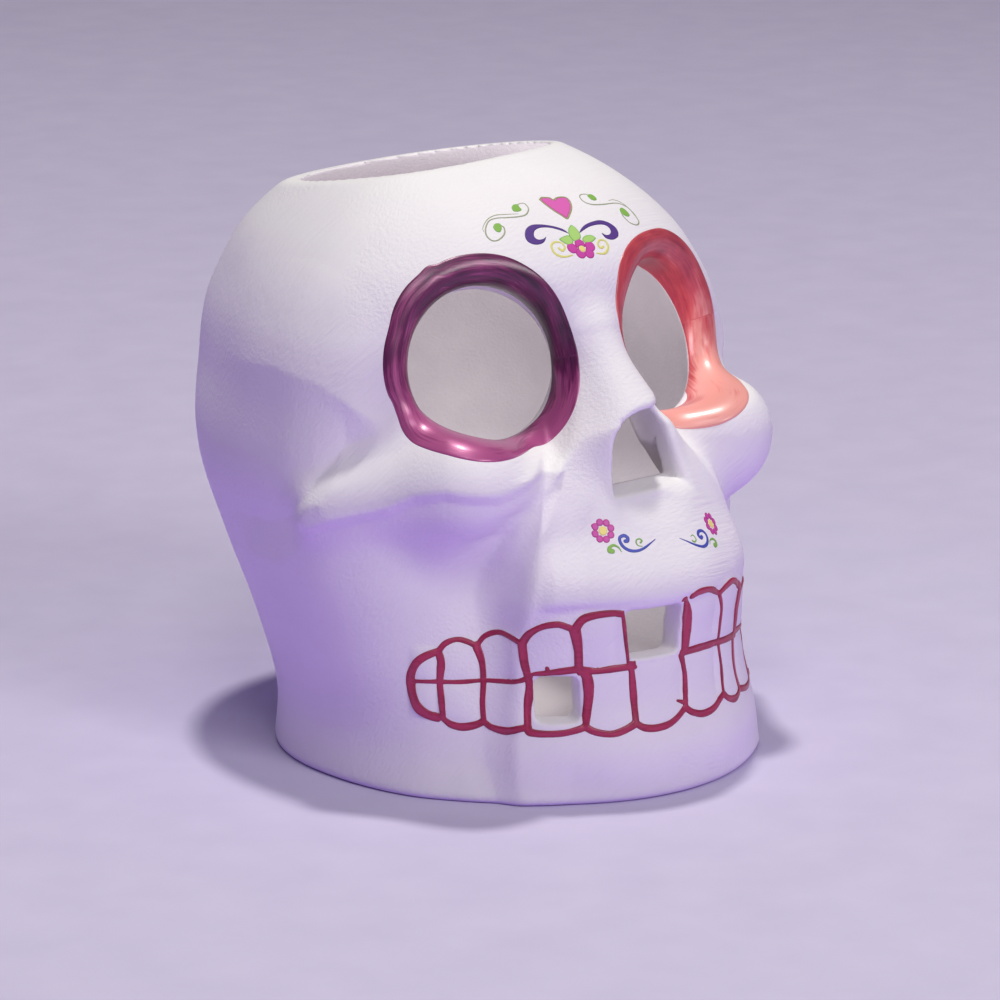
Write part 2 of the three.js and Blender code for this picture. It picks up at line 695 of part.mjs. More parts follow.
const disc = (radius) => (a) => [radius * Math.cos(a), radius * Math.sin(a)];
const petalDisc = ({ radius, petals, depth }) => (a) => {
  const r = radius - depth + depth * Math.cos(petals * (a - Math.PI / 2));
  return [r * Math.cos(a), r * Math.sin(a)];
};
const heartOutline = ({ width, height }, grow) => (a) => {
  const x = Math.sin(a) ** 3;
  const y = heartWaves.reduce((sum, wave, i) => sum + wave * Math.cos((i + 1) * a), 0) / heartReach;
  return [-(width / 2 + grow) * x, (height / 2 + grow) * y];
};

// A leaf springs from the rim of the flower and leans away from it
function leafPlate(place, root, { lean, length }) {
  const angle = radians(lean);
  const reach = root.radius + transferGap + length / 2;
  const [cx, cy] = [root.x + reach * Math.cos(angle), root.y + reach * Math.sin(angle)];
  return transferShape(place, cx, cy, leafPoints, (a) => {
    const along = (length / 2) * Math.cos(a);
    const across = (leafWidth / 2) * Math.sin(a);
    return [
      along * Math.cos(angle) - across * Math.sin(angle), along * Math.sin(angle) + across * Math.cos(angle),
    ];
  });
}

// A stroke that swells in the middle and thins toward both ends, and one that ends in a ball
const swelling = (width) => (t) => width * (swellingEnd + (1 - swellingEnd) * Math.sin(Math.PI * t));
const balled = (width) => (t) => width * (balledEnd + (1 - balledEnd) * t);

const group = new THREE.Group();
const add = (name, body, material) => group.add(meshOf(name, body, material));

add('skull_shell', skullShell(), chalkWhite);
add('right_eye_paint', eyePaint(-1), metallicPurple);
add('left_eye_paint', eyePaint(1), coral);
add('tooth_outline_paint', toothLines(), crimson);

// Forehead transfer
const brow = transferFrame(browAnchor, 1);
const heartPlate = (grow) => transferShape(brow, heart.x, heart.y, heartPoints, heartOutline(heart, grow));
add('heart_decal', heartPlate(-heart.border - transferGap), pink);
add('heart_outline_decal', heartPlate(0).subtract(heartPlate(-heart.border)), olive);
const browSides = [['left', 1], ['right', -1]];
for (const [name, side] of browSides) {
  add(`${name}_vine_decal`, transferStroke(brow, vine, side, swelling(vineWidth)), leafGreen);
  vineBuds.forEach(([x, y, radius], i) => {
    add(`${name}_vine_bud_${i + 1}`, transferShape(brow, side * x, y, discPoints, disc(radius)), leafGreen);
  });
  add(`${name}_violet_scroll`, transferStroke(brow, scroll, side, balled(scrollWidth)), violet);
  add(`${name}_yellow_curl`, transferStroke(brow, browCurl, side, swelling(curlWidth)), yellow);
}
leaves.forEach((leaf, i) => add(`brow_leaf_${i + 1}`, leafPlate(brow, browFlower, leaf), leafGreen));
const flower = (frame, { x, y, radius, petals, depth, heart: eye }, side) => {
  const outline = petalDisc({ radius, petals, depth });
  const whole = transferShape(frame, side * x, y, petals * petalPoints, outline);
  const hole = transferShape(frame, side * x, y, discPoints, disc(eye + transferGap));
  return [whole.subtract(hole), transferShape(frame, side * x, y, discPoints, disc(eye))];
};
const [browPetals, browEye] = flower(brow, browFlower, 1);
add('brow_flower_petals', browPetals, magenta);
add('brow_flower_centre', browEye, cream);

// Lip transfers
for (const [name, side] of browSides) {
  const lip = transferFrame(lipAnchor, side);
  const [petals, eye] = flower(lip, lipFlower, side);
  add(`${name}_lip_flower_petals`, petals, magenta);
  add(`${name}_lip_flower_centre`, eye, cream);
  const curl = swelling(lipCurlWidth);
  add(`${name}_lip_blue_scroll`, transferStroke(lip, lipScroll, side, swelling(lipScrollWidth)), blue);
  add(`${name}_lip_outer_curl`, transferStroke(lip, lipOuterCurl, side, curl), leafGreen);
  add(`${name}_lip_inner_curl`, transferStroke(lip, lipInnerCurl, side, curl), leafGreen);
}

export default group;
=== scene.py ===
"""Skull decoration: a cast ceramic skull with painted eye rings and tooth lines and small transfers."""
import math

import bpy
import numpy as np
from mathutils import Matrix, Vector


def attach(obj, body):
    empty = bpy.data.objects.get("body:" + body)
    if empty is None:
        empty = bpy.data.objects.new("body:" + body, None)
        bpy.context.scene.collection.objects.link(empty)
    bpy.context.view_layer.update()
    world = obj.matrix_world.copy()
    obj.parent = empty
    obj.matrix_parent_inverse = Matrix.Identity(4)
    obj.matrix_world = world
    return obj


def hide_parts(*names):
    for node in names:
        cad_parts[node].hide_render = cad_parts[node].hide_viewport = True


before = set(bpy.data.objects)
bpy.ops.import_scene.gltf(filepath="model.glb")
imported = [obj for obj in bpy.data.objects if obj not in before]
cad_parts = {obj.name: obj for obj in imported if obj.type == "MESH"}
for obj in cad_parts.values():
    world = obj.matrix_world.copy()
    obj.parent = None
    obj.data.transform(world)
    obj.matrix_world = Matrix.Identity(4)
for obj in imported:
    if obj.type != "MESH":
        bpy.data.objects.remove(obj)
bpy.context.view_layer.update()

# Lengths are in millimetres until a mesh is made. The face looks toward -Y and +X is the skull's left.
VOXEL = 0.6
MM = 0.001
rng = np.random.default_rng(7)

# The skin: stations of height, front, back, half width and widest place, and the swellings laid over them
BRAINCASE = np.array([
    [0, -64, 39.5, 54, -8.5], [12, -57, 41, 52, -8.5], [30, -48, 47, 55, -6.5], [48, -42, 56, 59.5, -4.5],
    [66, -41, 63.5, 63, -2.5], [84, -38.5, 69, 59.5, -0.5], [100, -37.5, 67.5, 55.5, 1.5],
    [114, -32.5, 59, 47, 3.5], [126, -18, 45, 33, 5.5], [136, 3, 25.5, 14.5, 9.5],
])
BRAINCASE_POWER = 2.2
# The muzzle, a slab before the braincase: height, front, half width of its bow and of the slab, middle
MUZZLE = np.array([
    [0, -69, 44, 35, -22.5], [10, -69, 45, 35, -22.5], [22, -65.5, 42.4, 33, -22.5],
    [34, -65.5, 41.3, 32, -22.5], [46, -66.5, 40.6, 31, -24.5], [58, -60.5, 35.5, 27, -26.5],
    [70, -53.5, 30, 19, -28.5], [84, -43, 24.5, 9, -28.5], [98, -26.5, 19.5, 10, -22.5],
    [108, -10, 12, 10, -14],
])
MUZZLE_TOP, MUZZLE_EDGE, MUZZLE_BLEND = 108, 0.6, 6
CHEEK_BALL, CHEEK_RADII, CHEEK_BLEND = (35, -35.3, 68), (13.7, 14.2, 14.5), 10
# Cones: both ends, then the radius at each
CHEEK_BONE, BONE_BLEND = ((38, -37, 70), (58, -13, 63), 8, 4.5), 7
NOSE_BRIDGE, BRIDGE_BLEND = ((0, -37, 97), (0, -46.5, 77), 3, 11), 8

# The bored sockets: the left one's place, how much higher the right one sits, their axis, the radius of the
# bore and of its rolled lip, and the collar and depth that the cavity leaves round them
EYE = np.array([27.3, -34.5, 94.0])
RIGHT_EYE_UP = 1.1
YAW, PITCH = math.radians(20), math.radians(22)
BORE, LIP, COLLAR, DEPTH = 17.0, 6.0, 2.0, 10.0
SOCKET_BACK, FAR_INSIDE = -40, -50  # No bore further back along its axis than this

# The nose opening: its middle, foot, half width, the height of its shoulders and its rise over them
NOSE_X, NOSE_FOOT, NOSE_HALF, NOSE_SHOULDER, NOSE_RISE = 1.4, 65.5, 9.9, 73.8, 9.2
NOSE_FLARE, NOSE_POWER, NOSE_BACK = 0.07, 2.3, -30
# Its edge: rounding, and how much softer it is toward the left and toward the top
NOSE_EDGE, SOFTER_LEFT, SOFTER_TOP, LEFT_SPAN, TOP_SPAN = 0.8, 2.2, 1.2, (2, 10), (74, 82)
# The filled block behind the nose: half width, back, middle and half height
BLOCK_HALF, BLOCK_BACK, BLOCK_Z, BLOCK_TALL = 16, -46, 76, 16

# Missing teeth: left and right edge in degrees, bottom, top, corner radius, and how the left edge leans
UPPER_GAP = (-12.6, -0.2, 31.2, 42.6, 1.5, 1.6)
LOWER_GAP = (-30, -21.1, 18.2, 28.2, 2.0, 0.0)
GAP_BACK, GAP_EDGE = 38, 0.5
JAW_RADIUS = 65.5

# The casting: its base, its slanted crown (the height at the middle and two slopes), its wall and floor
BASE, BASE_EDGE = 0.01, 1.8
CROWN, CROWN_FALL_BACK, CROWN_RISE_LEFT, CROWN_EDGE = 130.7, 0.19, 0.03, 0.7
WALL, RIM_THINNING, RIM_SPAN = 5.5, 3.4, (106, 126)
FLOOR_THICKNESS, FLOOR_CORNER, CAVITY_EDGE, OPENING_EDGE = 5, 4, 1.0, 0.4
# The room that the relief may fill: half sizes along x and y, and where its middle lies along y
ROOM_X, ROOM_Y, ROOM_MIDDLE = 63.6, 69.15, 0.07


def stations(rows):
    """A smooth curve through rows of a place and the values there."""
    z, v = rows[:, 0], rows[:, 1:]
    secant = np.diff(v, axis=0) / np.diff(z)[:, None]
    slope = np.vstack([secant[:1], (secant[1:] + secant[:-1]) / 2, secant[-1:]])

    def at(height):
        height = np.clip(height, z[0], z[-1])
        i = np.clip(np.searchsorted(z, height, side="right") - 1, 0, len(z) - 2)
        step = z[i + 1] - z[i]
        p = ((height - z[i]) / step)[..., None]
        step = step[..., None]
        value = (2 * p**3 - 3 * p**2 + 1) * v[i] + (3 * p**2 - 2 * p**3) * v[i + 1]
        value = value + step * ((p**3 - 2 * p**2 + p) * slope[i] + (p**3 - p**2) * slope[i + 1])
        return np.moveaxis(value, -1, 0)
    return at


braincase_at, muzzle_at = stations(BRAINCASE), stations(MUZZLE)


def smooth_min(a, b, k):
    """The smaller of two fields, blended over k."""
    t = np.clip(0.5 + 0.5 * (b - a) / k, 0, 1)
    return b + (a - b) * t - k * t * (1 - t)


def round_max(a, b, r):
    """The larger of two distances, with its edge rounded to radius r."""
    return np.minimum(-r, np.maximum(a, b)) + np.hypot(np.maximum(a + r, 0), np.maximum(b + r, 0))


def smoothstep(v, zero, one):
    """0 at the first place, 1 at the second, whichever is larger, and smooth between."""
    t = np.clip((v - zero) / (one - zero), 0, 1)
    return t * t * (3 - 2 * t)


def window(v, start, full, fading, end):
    """1 from full to fading and 0 outside start and end."""
    return smoothstep(v, start, full) * smoothstep(v, end, fading)


def through(v, pairs):
    """The value at v on straight lines through pairs of a place and a value."""
    return np.interp(v, *np.array(pairs).T)


def oval(x, y, half_x, half_y, n):
    """Distance, nearly, from an oval of power n."""
    scale = (np.abs(x / half_x) ** n + np.abs(y / half_y) ** n) ** (1 / n)
    return np.hypot(x, y) * (1 - 1 / np.maximum(scale, 1e-6))


def cone(x, y, z, a, b, ra, rb):
    """Distance from a round bar from a to b with a radius at each end."""
    a, d = np.array(a, float), np.array(b, float) - np.array(a, float)
    dx, dy, dz = x - a[0], y - a[1], z - a[2]
    t = np.clip((dx * d[0] + dy * d[1] + dz * d[2]) / (d @ d), 0, 1)
    return np.sqrt((dx - t * d[0])**2 + (dy - t * d[1])**2 + (dz - t * d[2])**2) - ra - (rb - ra) * t


def skin(x, y, z):
    """Negative inside the skull's outer skin."""
    x = np.abs(x)
    front, back, half, middle = braincase_at(z)
    d = oval(x, y - middle, half, np.where(y < middle, middle - front, back - middle), BRAINCASE_POWER)
    front, bow, half, middle = muzzle_at(z)
    jaw = round_max(oval(x, y - middle, bow, middle - front, 2), x - half, MUZZLE_EDGE)
    d = smooth_min(d, jaw + np.maximum(z - MUZZLE_TOP, 0), MUZZLE_BLEND)
    q = [(v - centre) / radius for v, centre, radius in zip((x, y, z), CHEEK_BALL, CHEEK_RADII)]
    n = np.sqrt(sum(a**2 for a in q))
    m = np.sqrt(sum((a / radius)**2 for a, radius in zip(q, CHEEK_RADII)))
    d = smooth_min(d, n * (n - 1) / np.maximum(m, 1e-9), CHEEK_BLEND)
    d = smooth_min(d, cone(x, y, z, *CHEEK_BONE), BONE_BLEND)
    return smooth_min(d, cone(x, y, z, *NOSE_BRIDGE), BRIDGE_BLEND)


# The field on a grid: the skin as a distance, then the lips, openings and cavity
LOW, HIGH = np.array([-66.0, -72.0, -3.0]), np.array([66.0, 72.0, 135.0])
counts = np.round((HIGH - LOW) / VOXEL).astype(int) + 1
gx, gy, gz = (LOW[i] + VOXEL * np.arange(counts[i]) for i in range(3))
X, Y = np.meshgrid(gx, gy, indexing="ij")


def grid_of(function):
    """A field's values on the whole grid, one height after the other."""
    return np.stack([function(X, Y, np.float64(z)).astype(np.float32) for z in gz], axis=2)


def sample(field, p):
    """Value and gradient of a grid field at points, by trilinear interpolation."""
    q = np.clip((p - LOW) / VOXEL, 0, counts - 1.001)
    i = q.astype(int)
    f = q - i
    corners = [(a, b, e) for a in (0, 1) for b in (0, 1) for e in (0, 1)]
    c = np.stack([field[i[:, 0] + a, i[:, 1] + b, i[:, 2] + e] for a, b, e in corners])
    c = c.reshape(2, 2, 2, -1).astype(float)
    u, v, w = f.T
    cx = c[0] * (1 - u) + c[1] * u
    cxy = cx[0] * (1 - v) + cx[1] * v
    value = cxy[0] * (1 - w) + cxy[1] * w
    dx = c[1] - c[0]
    dx = dx[0] * (1 - v) + dx[1] * v
    dy = cx[1] - cx[0]
    g = np.stack([dx[0] * (1 - w) + dx[1] * w, dy[0] * (1 - w) + dy[1] * w, cxy[1] - cxy[0]], 1) / VOXEL
    return value, g


def settle(field, p, steps=4, most=1.0, flattest=0.2):
    """Points moved onto the zero surface of a grid field, with its outward normals."""
    p = p.copy()
    for _ in range(steps):
        value, g = sample(field, p)
        move = -value[:, None] * g / np.maximum((g**2).sum(1), flattest)[:, None]
        size = np.linalg.norm(move, axis=1, keepdims=True)
        p += move * np.minimum(1, most * VOXEL / np.maximum(size, 1e-9))
    g = sample(field, p)[1]
    return p, g / np.maximum(np.linalg.norm(g, axis=1, keepdims=True), 1e-9)


def crossing(field, origin, direction, near, far, halvings=22):
    """Distance along each ray at which the field turns from negative to positive."""
    near, far = np.full(len(origin), float(near)), np.full(len(origin), float(far))
    for _ in range(halvings):
        middle = (near + far) / 2
        inside = sample(field, origin + direction * middle[:, None])[0] < 0
        near, far = np.where(inside, middle, near), np.where(inside, far, middle)
    return (near + far) / 2


raw = grid_of(skin)
slope = np.sqrt(sum(g**2 for g in np.gradient(raw, VOXEL)))
distance = raw / np.clip(slope, 0.3, 1.6)
del raw, slope


def eye_axes(side):
    """A socket's place, its axis, and the directions across and up its face."""
    flat = math.cos(PITCH)
    n = np.array([side * math.sin(YAW) * flat, -math.cos(YAW) * flat, math.sin(PITCH)])
    across = np.cross([0, 0, 1], n)
    across /= np.linalg.norm(across)
    return EYE * [side, 1, 1] + [0, 0, RIGHT_EYE_UP * (side < 0)], n, across, np.cross(n, across)


def bore(x, y, z):
    """Distance from the socket's axis, and the distance along it, mirrored for both eyes."""
    centre, n, _, _ = eye_axes(1)
    dx, dy, dz = np.abs(x) - centre[0], y - centre[1], z - centre[2] - RIGHT_EYE_UP * (x < 0)
    a = dx * n[0] + dy * n[1] + dz * n[2]
    return np.sqrt(np.maximum(dx**2 + dy**2 + dz**2 - a**2, 0)), a


# Tooth lines: degrees round the jaw and heights
UPPER = [(-51, 31.8), (-41.5, 34.6), (-31.9, 37.2), (-22.8, 41), (-14.4, 42.4),
         (1, 43.6), (9.7, 43.4), (20.5, 41.6), (31.9, 37.2), (41.5, 34.6), (51, 31.8)]
LOWER = [(-51, 19.2), (-41.3, 17.7), (-31.3, 17.1), (-20.7, 17.4), (-10.6, 17.6), (0.4, 17.6),
         (10.7, 18.4), (20.7, 17.6), (31.3, 17.1), (41.3, 17.7), (51, 19.2)]
BITE = [(-57, 25.2), (-51, 25.5), (-41.5, 26), (-31.8, 27.4), (-22, 29.7), (-13.6, 30.4), (-8, 30),
        (0.4, 30.2), (9.8, 30.8), (21, 29.8), (31.8, 27.4), (41.5, 26), (51, 25.5), (57, 25.2)]
TOOTH_END, TOOTH_HEIGHT, TOOTH_BEYOND, TOOTH_FRONT = 57, 0.7, 1.6, -15


def tooth_relief(x, y, z):
    """Each tooth stands out a little, like a small pillow."""
    angle = np.degrees(np.arctan2(x, -y))
    bite = through(angle, BITE)
    height = np.zeros_like(x)
    for row, beyond in ((UPPER, TOOTH_BEYOND), (LOWER, -TOOTH_BEYOND)):
        edges = np.array([-TOOTH_END] + [a for a, _ in row] + [TOOTH_END])
        level = through(angle, row) + beyond
        i = np.clip(np.searchsorted(edges, angle) - 1, 0, len(edges) - 2)
        across = np.clip((angle - edges[i]) / (edges[i + 1] - edges[i]), 0, 1)
        along = np.clip((z - bite) / (level - bite), 0, 1)
        pillow = np.clip(16 * across * (1 - across) * along * (1 - along), 0, 1) ** 0.6
        height = height + pillow * (np.abs(angle) < TOOTH_END)
    return TOOTH_HEIGHT * height * (y < TOOTH_FRONT)


def inside_arch(x, z):
    """The nose opening, a little off the middle and wider at its foot."""
    rise = np.maximum(z - NOSE_SHOULDER, 0)
    half = NOSE_HALF + NOSE_FLARE * np.maximum(NOSE_SHOULDER - z, 0)
    x = np.abs(x - NOSE_X)
    scale = ((x / half) ** NOSE_POWER + (rise / NOSE_RISE) ** NOSE_POWER) ** (1 / NOSE_POWER)
    return np.maximum(np.hypot(x, rise) * (1 - 1 / np.maximum(scale, 1e-6)), NOSE_FOOT - z)


def gap(x, y, z, tooth):
    """Distance from a missing tooth, a box that is bent round the jaw."""
    left, right, bottom, top, corner, lean = tooth
    r = np.hypot(x, y)
    left = left + lean * (top - z) / (top - bottom)
    u = np.radians(np.degrees(np.arctan2(x, -y)) - (left + right) / 2) * r
    v = z - (bottom + top) / 2
    hu, hv = np.radians(right - left) / 2 * r - corner, (top - bottom) / 2 - corner
    qu, qv = np.abs(u) - hu, np.abs(v) - hv
    box = np.hypot(np.maximum(qu, 0), np.maximum(qv, 0)) + np.minimum(np.maximum(qu, qv), 0) - corner
    return np.maximum(box, GAP_BACK - r)


# Relief of the skin, in millimetres, fullest on the right side, which the photo shows. Turns are degrees from
# the face. A span of four says where a form starts, is full, fades and ends; one of two, where it is 0 and 1.
# The edge along each cheekbone: turn and height, then its relief and its reach over and under the edge
CHEEK = [(0, 76), (20, 76), (25, 74.5), (31, 71.5), (37, 69.8), (41.6, 70.3), (47.8, 71), (54, 69.4),
         (59.5, 66), (68, 63.3), (75.6, 61), (84, 59), (180, 59)]
CHEEK_RIGHT, CHEEK_LEFT, CHEEK_OVER, CHEEK_UNDER, CHEEK_TURN = 1.5, 0.2, 11, 2.6, (20, 27, 75, 83)
# The brow's edge with the foot of the temple under it: turn, height of the edge and of the foot
TEMPLE = [(0, 82, 78), (66, 83, 80), (72, 87, 77), (75, 88.5, 72), (78, 90, 66), (84, 91, 60), (91, 92, 57),
          (105, 91, 56), (180, 90, 56)]
BROW_HEIGHT, BROW_REACH, TEMPLE_DEPTH, TEMPLE_REACH, TEMPLE_TURN = 1.4, 22, 1.8, 9, (63, 72, 94, 116)
# The flat behind the right temple
FLAT_DEPTH, FLAT_TURN, FLAT_SPAN = 0.8, (112, 126), (70, 86, 104, 116)
# The crease beside the muzzle: its form at distances past the muzzle's side, and its share at heights
CREASE = [(-22, 0), (-9, -0.9), (0.2, 1), (0.8, 0.6), (2.8, -1.5), (8.8, -1.5), (24, 0)]
CREASE_SHARE = [(8, 0.4), (16, 0.12), (37, 0.12), (44, 1)]
CREASE_LEFT, CREASE_LOSS, LOSS_SPAN, CREASE_TOP, CREASE_FRONT = 0.3, 0.75, (58, 68), (84, 75), (-32, -42)
# The hollow under the right cheekbone with the bulge over it: relief at heights, and span past the muzzle
HOLLOW = [(44, 0), (52, -0.6), (58, -1.8), (63, -1.2), (68, 1.1), (71.5, 2.3), (75.5, 0)]
HOLLOW_SPAN = (-0.2, 2.3, 6, 18)
# The swelling over the upper teeth: its heights, its end at the muzzle's side and its end toward the left
LIP_HEIGHT, LIP_SPAN, LIP_END, LIP_LEFT = 1.2, (42.5, 45.5, 48, 60), (0, -3), (18, 4)
# The scoop under the nose: its place and its half sizes
SCOOP_DEPTH, SCOOP_X, SCOOP_Z, SCOOP_WIDE, SCOOP_TALL, SCOOP_FRONT = 1.4, 1.6, 65, 12, 8, -40
RELIEF_TOP, TEETH_FROM, TEETH_TO, WIDEST = 116, 14, 48, 63.5


def cheek_edge(x, turn, z):
    above = z - through(turn, CHEEK)
    ridge = np.where(above > 0, 1 - above / CHEEK_OVER, 1 + above / CHEEK_UNDER)
    return np.where(x < 0, CHEEK_RIGHT, CHEEK_LEFT) * np.clip(ridge, 0, 1) * window(turn, *CHEEK_TURN)


def muzzle_crease(x, y, z, beside):
    share = through(z, CREASE_SHARE) * (1 - CREASE_LOSS * smoothstep(z, *LOSS_SPAN))
    crease = through(beside, CREASE) * np.where(x < 0, 1, CREASE_LEFT) * share
    crease += through(z, HOLLOW) * (x < 0) * window(beside, *HOLLOW_SPAN)
    return crease * smoothstep(y, *CREASE_FRONT) * smoothstep(z, *CREASE_TOP)


def upper_lip(x, y, z, beside):
    lip = LIP_HEIGHT * window(z, *LIP_SPAN) * smoothstep(beside, *LIP_END)
    return lip * smoothstep(x, *LIP_LEFT) * (y < 0)


def temple_edge(turn, z):
    turns, tops, feet = np.array(TEMPLE).T
    top, foot = np.interp(turn, turns, tops), np.interp(turn, turns, feet)
    over = BROW_HEIGHT * np.clip(1 - (z - top) / BROW_REACH, 0, 1)
    between = BROW_HEIGHT - (BROW_HEIGHT + TEMPLE_DEPTH) * (top - z) / (top - foot)
    under = -TEMPLE_DEPTH * np.clip(1 - (foot - z) / TEMPLE_REACH, 0, 1)
    return np.where(z < foot, under, np.where(z > top, over, between)) * window(turn, *TEMPLE_TURN)


def modelling(x, y, z):
    """How far the skin stands out past its plain swellings."""
    turn = np.degrees(np.arctan2(np.abs(x), -y))
    beside = np.abs(x) - muzzle_at(z)[2]
    height = cheek_edge(x, turn, z) + muzzle_crease(x, y, z, beside) + upper_lip(x, y, z, beside)
    scoop = np.clip(1 - np.hypot((x - SCOOP_X) / SCOOP_WIDE, (z - SCOOP_Z) / SCOOP_TALL), 0, 1)
    height -= SCOOP_DEPTH * smoothstep(scoop, 0, 0.9) * (y < SCOOP_FRONT)
    height += temple_edge(turn, z)
    height -= FLAT_DEPTH * (x < 0) * smoothstep(turn, *FLAT_TURN) * window(z, *FLAT_SPAN)
    return np.minimum(height, np.maximum(WIDEST - np.abs(x), 0))


# Two fields of the outer form: film, which paint and print lie on, and solid, which is the casting with its
# openings. The third, cavity, is the room inside.
film = distance.copy()
for k, z in enumerate(gz):
    rho, a = bore(X, Y, z)
    if z < RELIEF_TOP:
        teeth = tooth_relief(X, Y, z) if TEETH_FROM < z < TEETH_TO else 0
        film[:, :, k] -= teeth + modelling(X, Y, z)
    body = np.maximum(film[:, :, k], np.maximum(np.abs(Y - ROOM_MIDDLE) - ROOM_Y, np.abs(X) - ROOM_X))
    film[:, :, k] = round_max(body, np.where(a > SOCKET_BACK, BORE - rho, FAR_INSIDE), LIP)
solid, cavity = film.copy(), np.empty_like(film)
for k, z in enumerate(gz):
    rho, a = bore(X, Y, z)
    outer = round_max(solid[:, :, k], BASE - z, BASE_EDGE)
    over_crown = (z + CROWN_FALL_BACK * Y - CROWN_RISE_LEFT * X - CROWN) / math.hypot(1, CROWN_FALL_BACK)
    outer = round_max(outer, over_crown, CROWN_EDGE)
    soft = NOSE_EDGE + SOFTER_LEFT * smoothstep(X, *LEFT_SPAN) + SOFTER_TOP * smoothstep(z, *TOP_SPAN)
    outer = round_max(outer, -np.maximum(inside_arch(X, z), Y - NOSE_BACK), soft)
    for tooth in (UPPER_GAP, LOWER_GAP):
        outer = round_max(outer, -gap(X, Y, z, tooth), GAP_EDGE)
    wall = WALL - RIM_THINNING * smoothstep(z, *RIM_SPAN)
    room = round_max(distance[:, :, k] + wall, FLOOR_THICKNESS - z, FLOOR_CORNER)
    room = round_max(room, -np.maximum(rho - BORE - COLLAR, -a - DEPTH), CAVITY_EDGE)
    block = np.maximum(np.maximum(np.abs(X) - BLOCK_HALF, Y - BLOCK_BACK), np.abs(z - BLOCK_Z) - BLOCK_TALL)
    room = round_max(room, -block, CAVITY_EDGE)
    solid[:, :, k] = round_max(outer, -room, OPENING_EDGE)
    cavity[:, :, k] = room


def surface_nets(field):
    """Quads round the zero surface of a grid field, one point in each cell that it crosses."""
    inside = field < 0
    corner = [(a, b, c) for a in (0, 1) for b in (0, 1) for c in (0, 1)]
    cells = [n - 1 for n in field.shape]
    total = sum(inside[tuple(slice(a, a + n) for a, n in zip(c, cells))].astype(np.int8) for c in corner)
    ijk = np.argwhere((total > 0) & (total < 8))
    number = np.full(cells, -1, np.int32)
    number[tuple(ijk.T)] = np.arange(len(ijk))
    values = np.stack([field[tuple((ijk + c).T)] for c in corner], 1).astype(float)
    points, hits = np.zeros((len(ijk), 3)), np.zeros(len(ijk))
    for m, ca in enumerate(corner):
        for n, cb in enumerate(corner):
            if n > m and sum(abs(p - q) for p, q in zip(ca, cb)) == 1:
                va, vb = values[:, m], values[:, n]
                cross = (va < 0) != (vb < 0)
                t = np.where(cross, va / np.where(cross, va - vb, 1), 0)
                points += cross[:, None] * (np.array(ca) + t[:, None] * (np.array(cb) - np.array(ca)))
                hits += cross
    points = LOW + VOXEL * (ijk + points / hits[:, None])
    faces = []
    for axis in range(3):
        one = np.eye(3, dtype=int)[axis]
        low = inside[tuple(slice(0, n - o) for n, o in zip(field.shape, one))]
        high = inside[tuple(slice(o, None) for o in one)]
        edge = np.argwhere(low != high)
        b, c = np.eye(3, dtype=int)[(axis + 1) % 3], np.eye(3, dtype=int)[(axis + 2) % 3]
        ring = np.stack([number[tuple((edge - s).T)] for s in (b + c, c, 0 * b, b)], 1)
        flip = ~low[tuple(edge.T)]
        ring[flip] = ring[flip][:, ::-1]
        faces.append(ring)
    return points, np.concatenate(faces)


def link(name, data):
    """A new object in the scene."""
    thing = bpy.data.objects.new(name, data)
    bpy.context.scene.collection.objects.link(thing)
    return thing


def make(name, points, faces, material, nodes, lay):
    """A smooth mesh piece from points in millimetres, with a vector at each, riding on the frame."""
    mesh = bpy.data.meshes.new(name)
    mesh.from_pydata((points * MM).tolist(), [], faces.tolist(), shade_flat=False)
    values = lay.astype(np.float32).ravel()
    mesh.attributes.new("lay", "FLOAT_VECTOR", "POINT").data.foreach_set("vector", values)
    mesh.materials.append(material)
    piece = link(name, mesh)
    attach(piece, "root")
    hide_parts(*nodes)


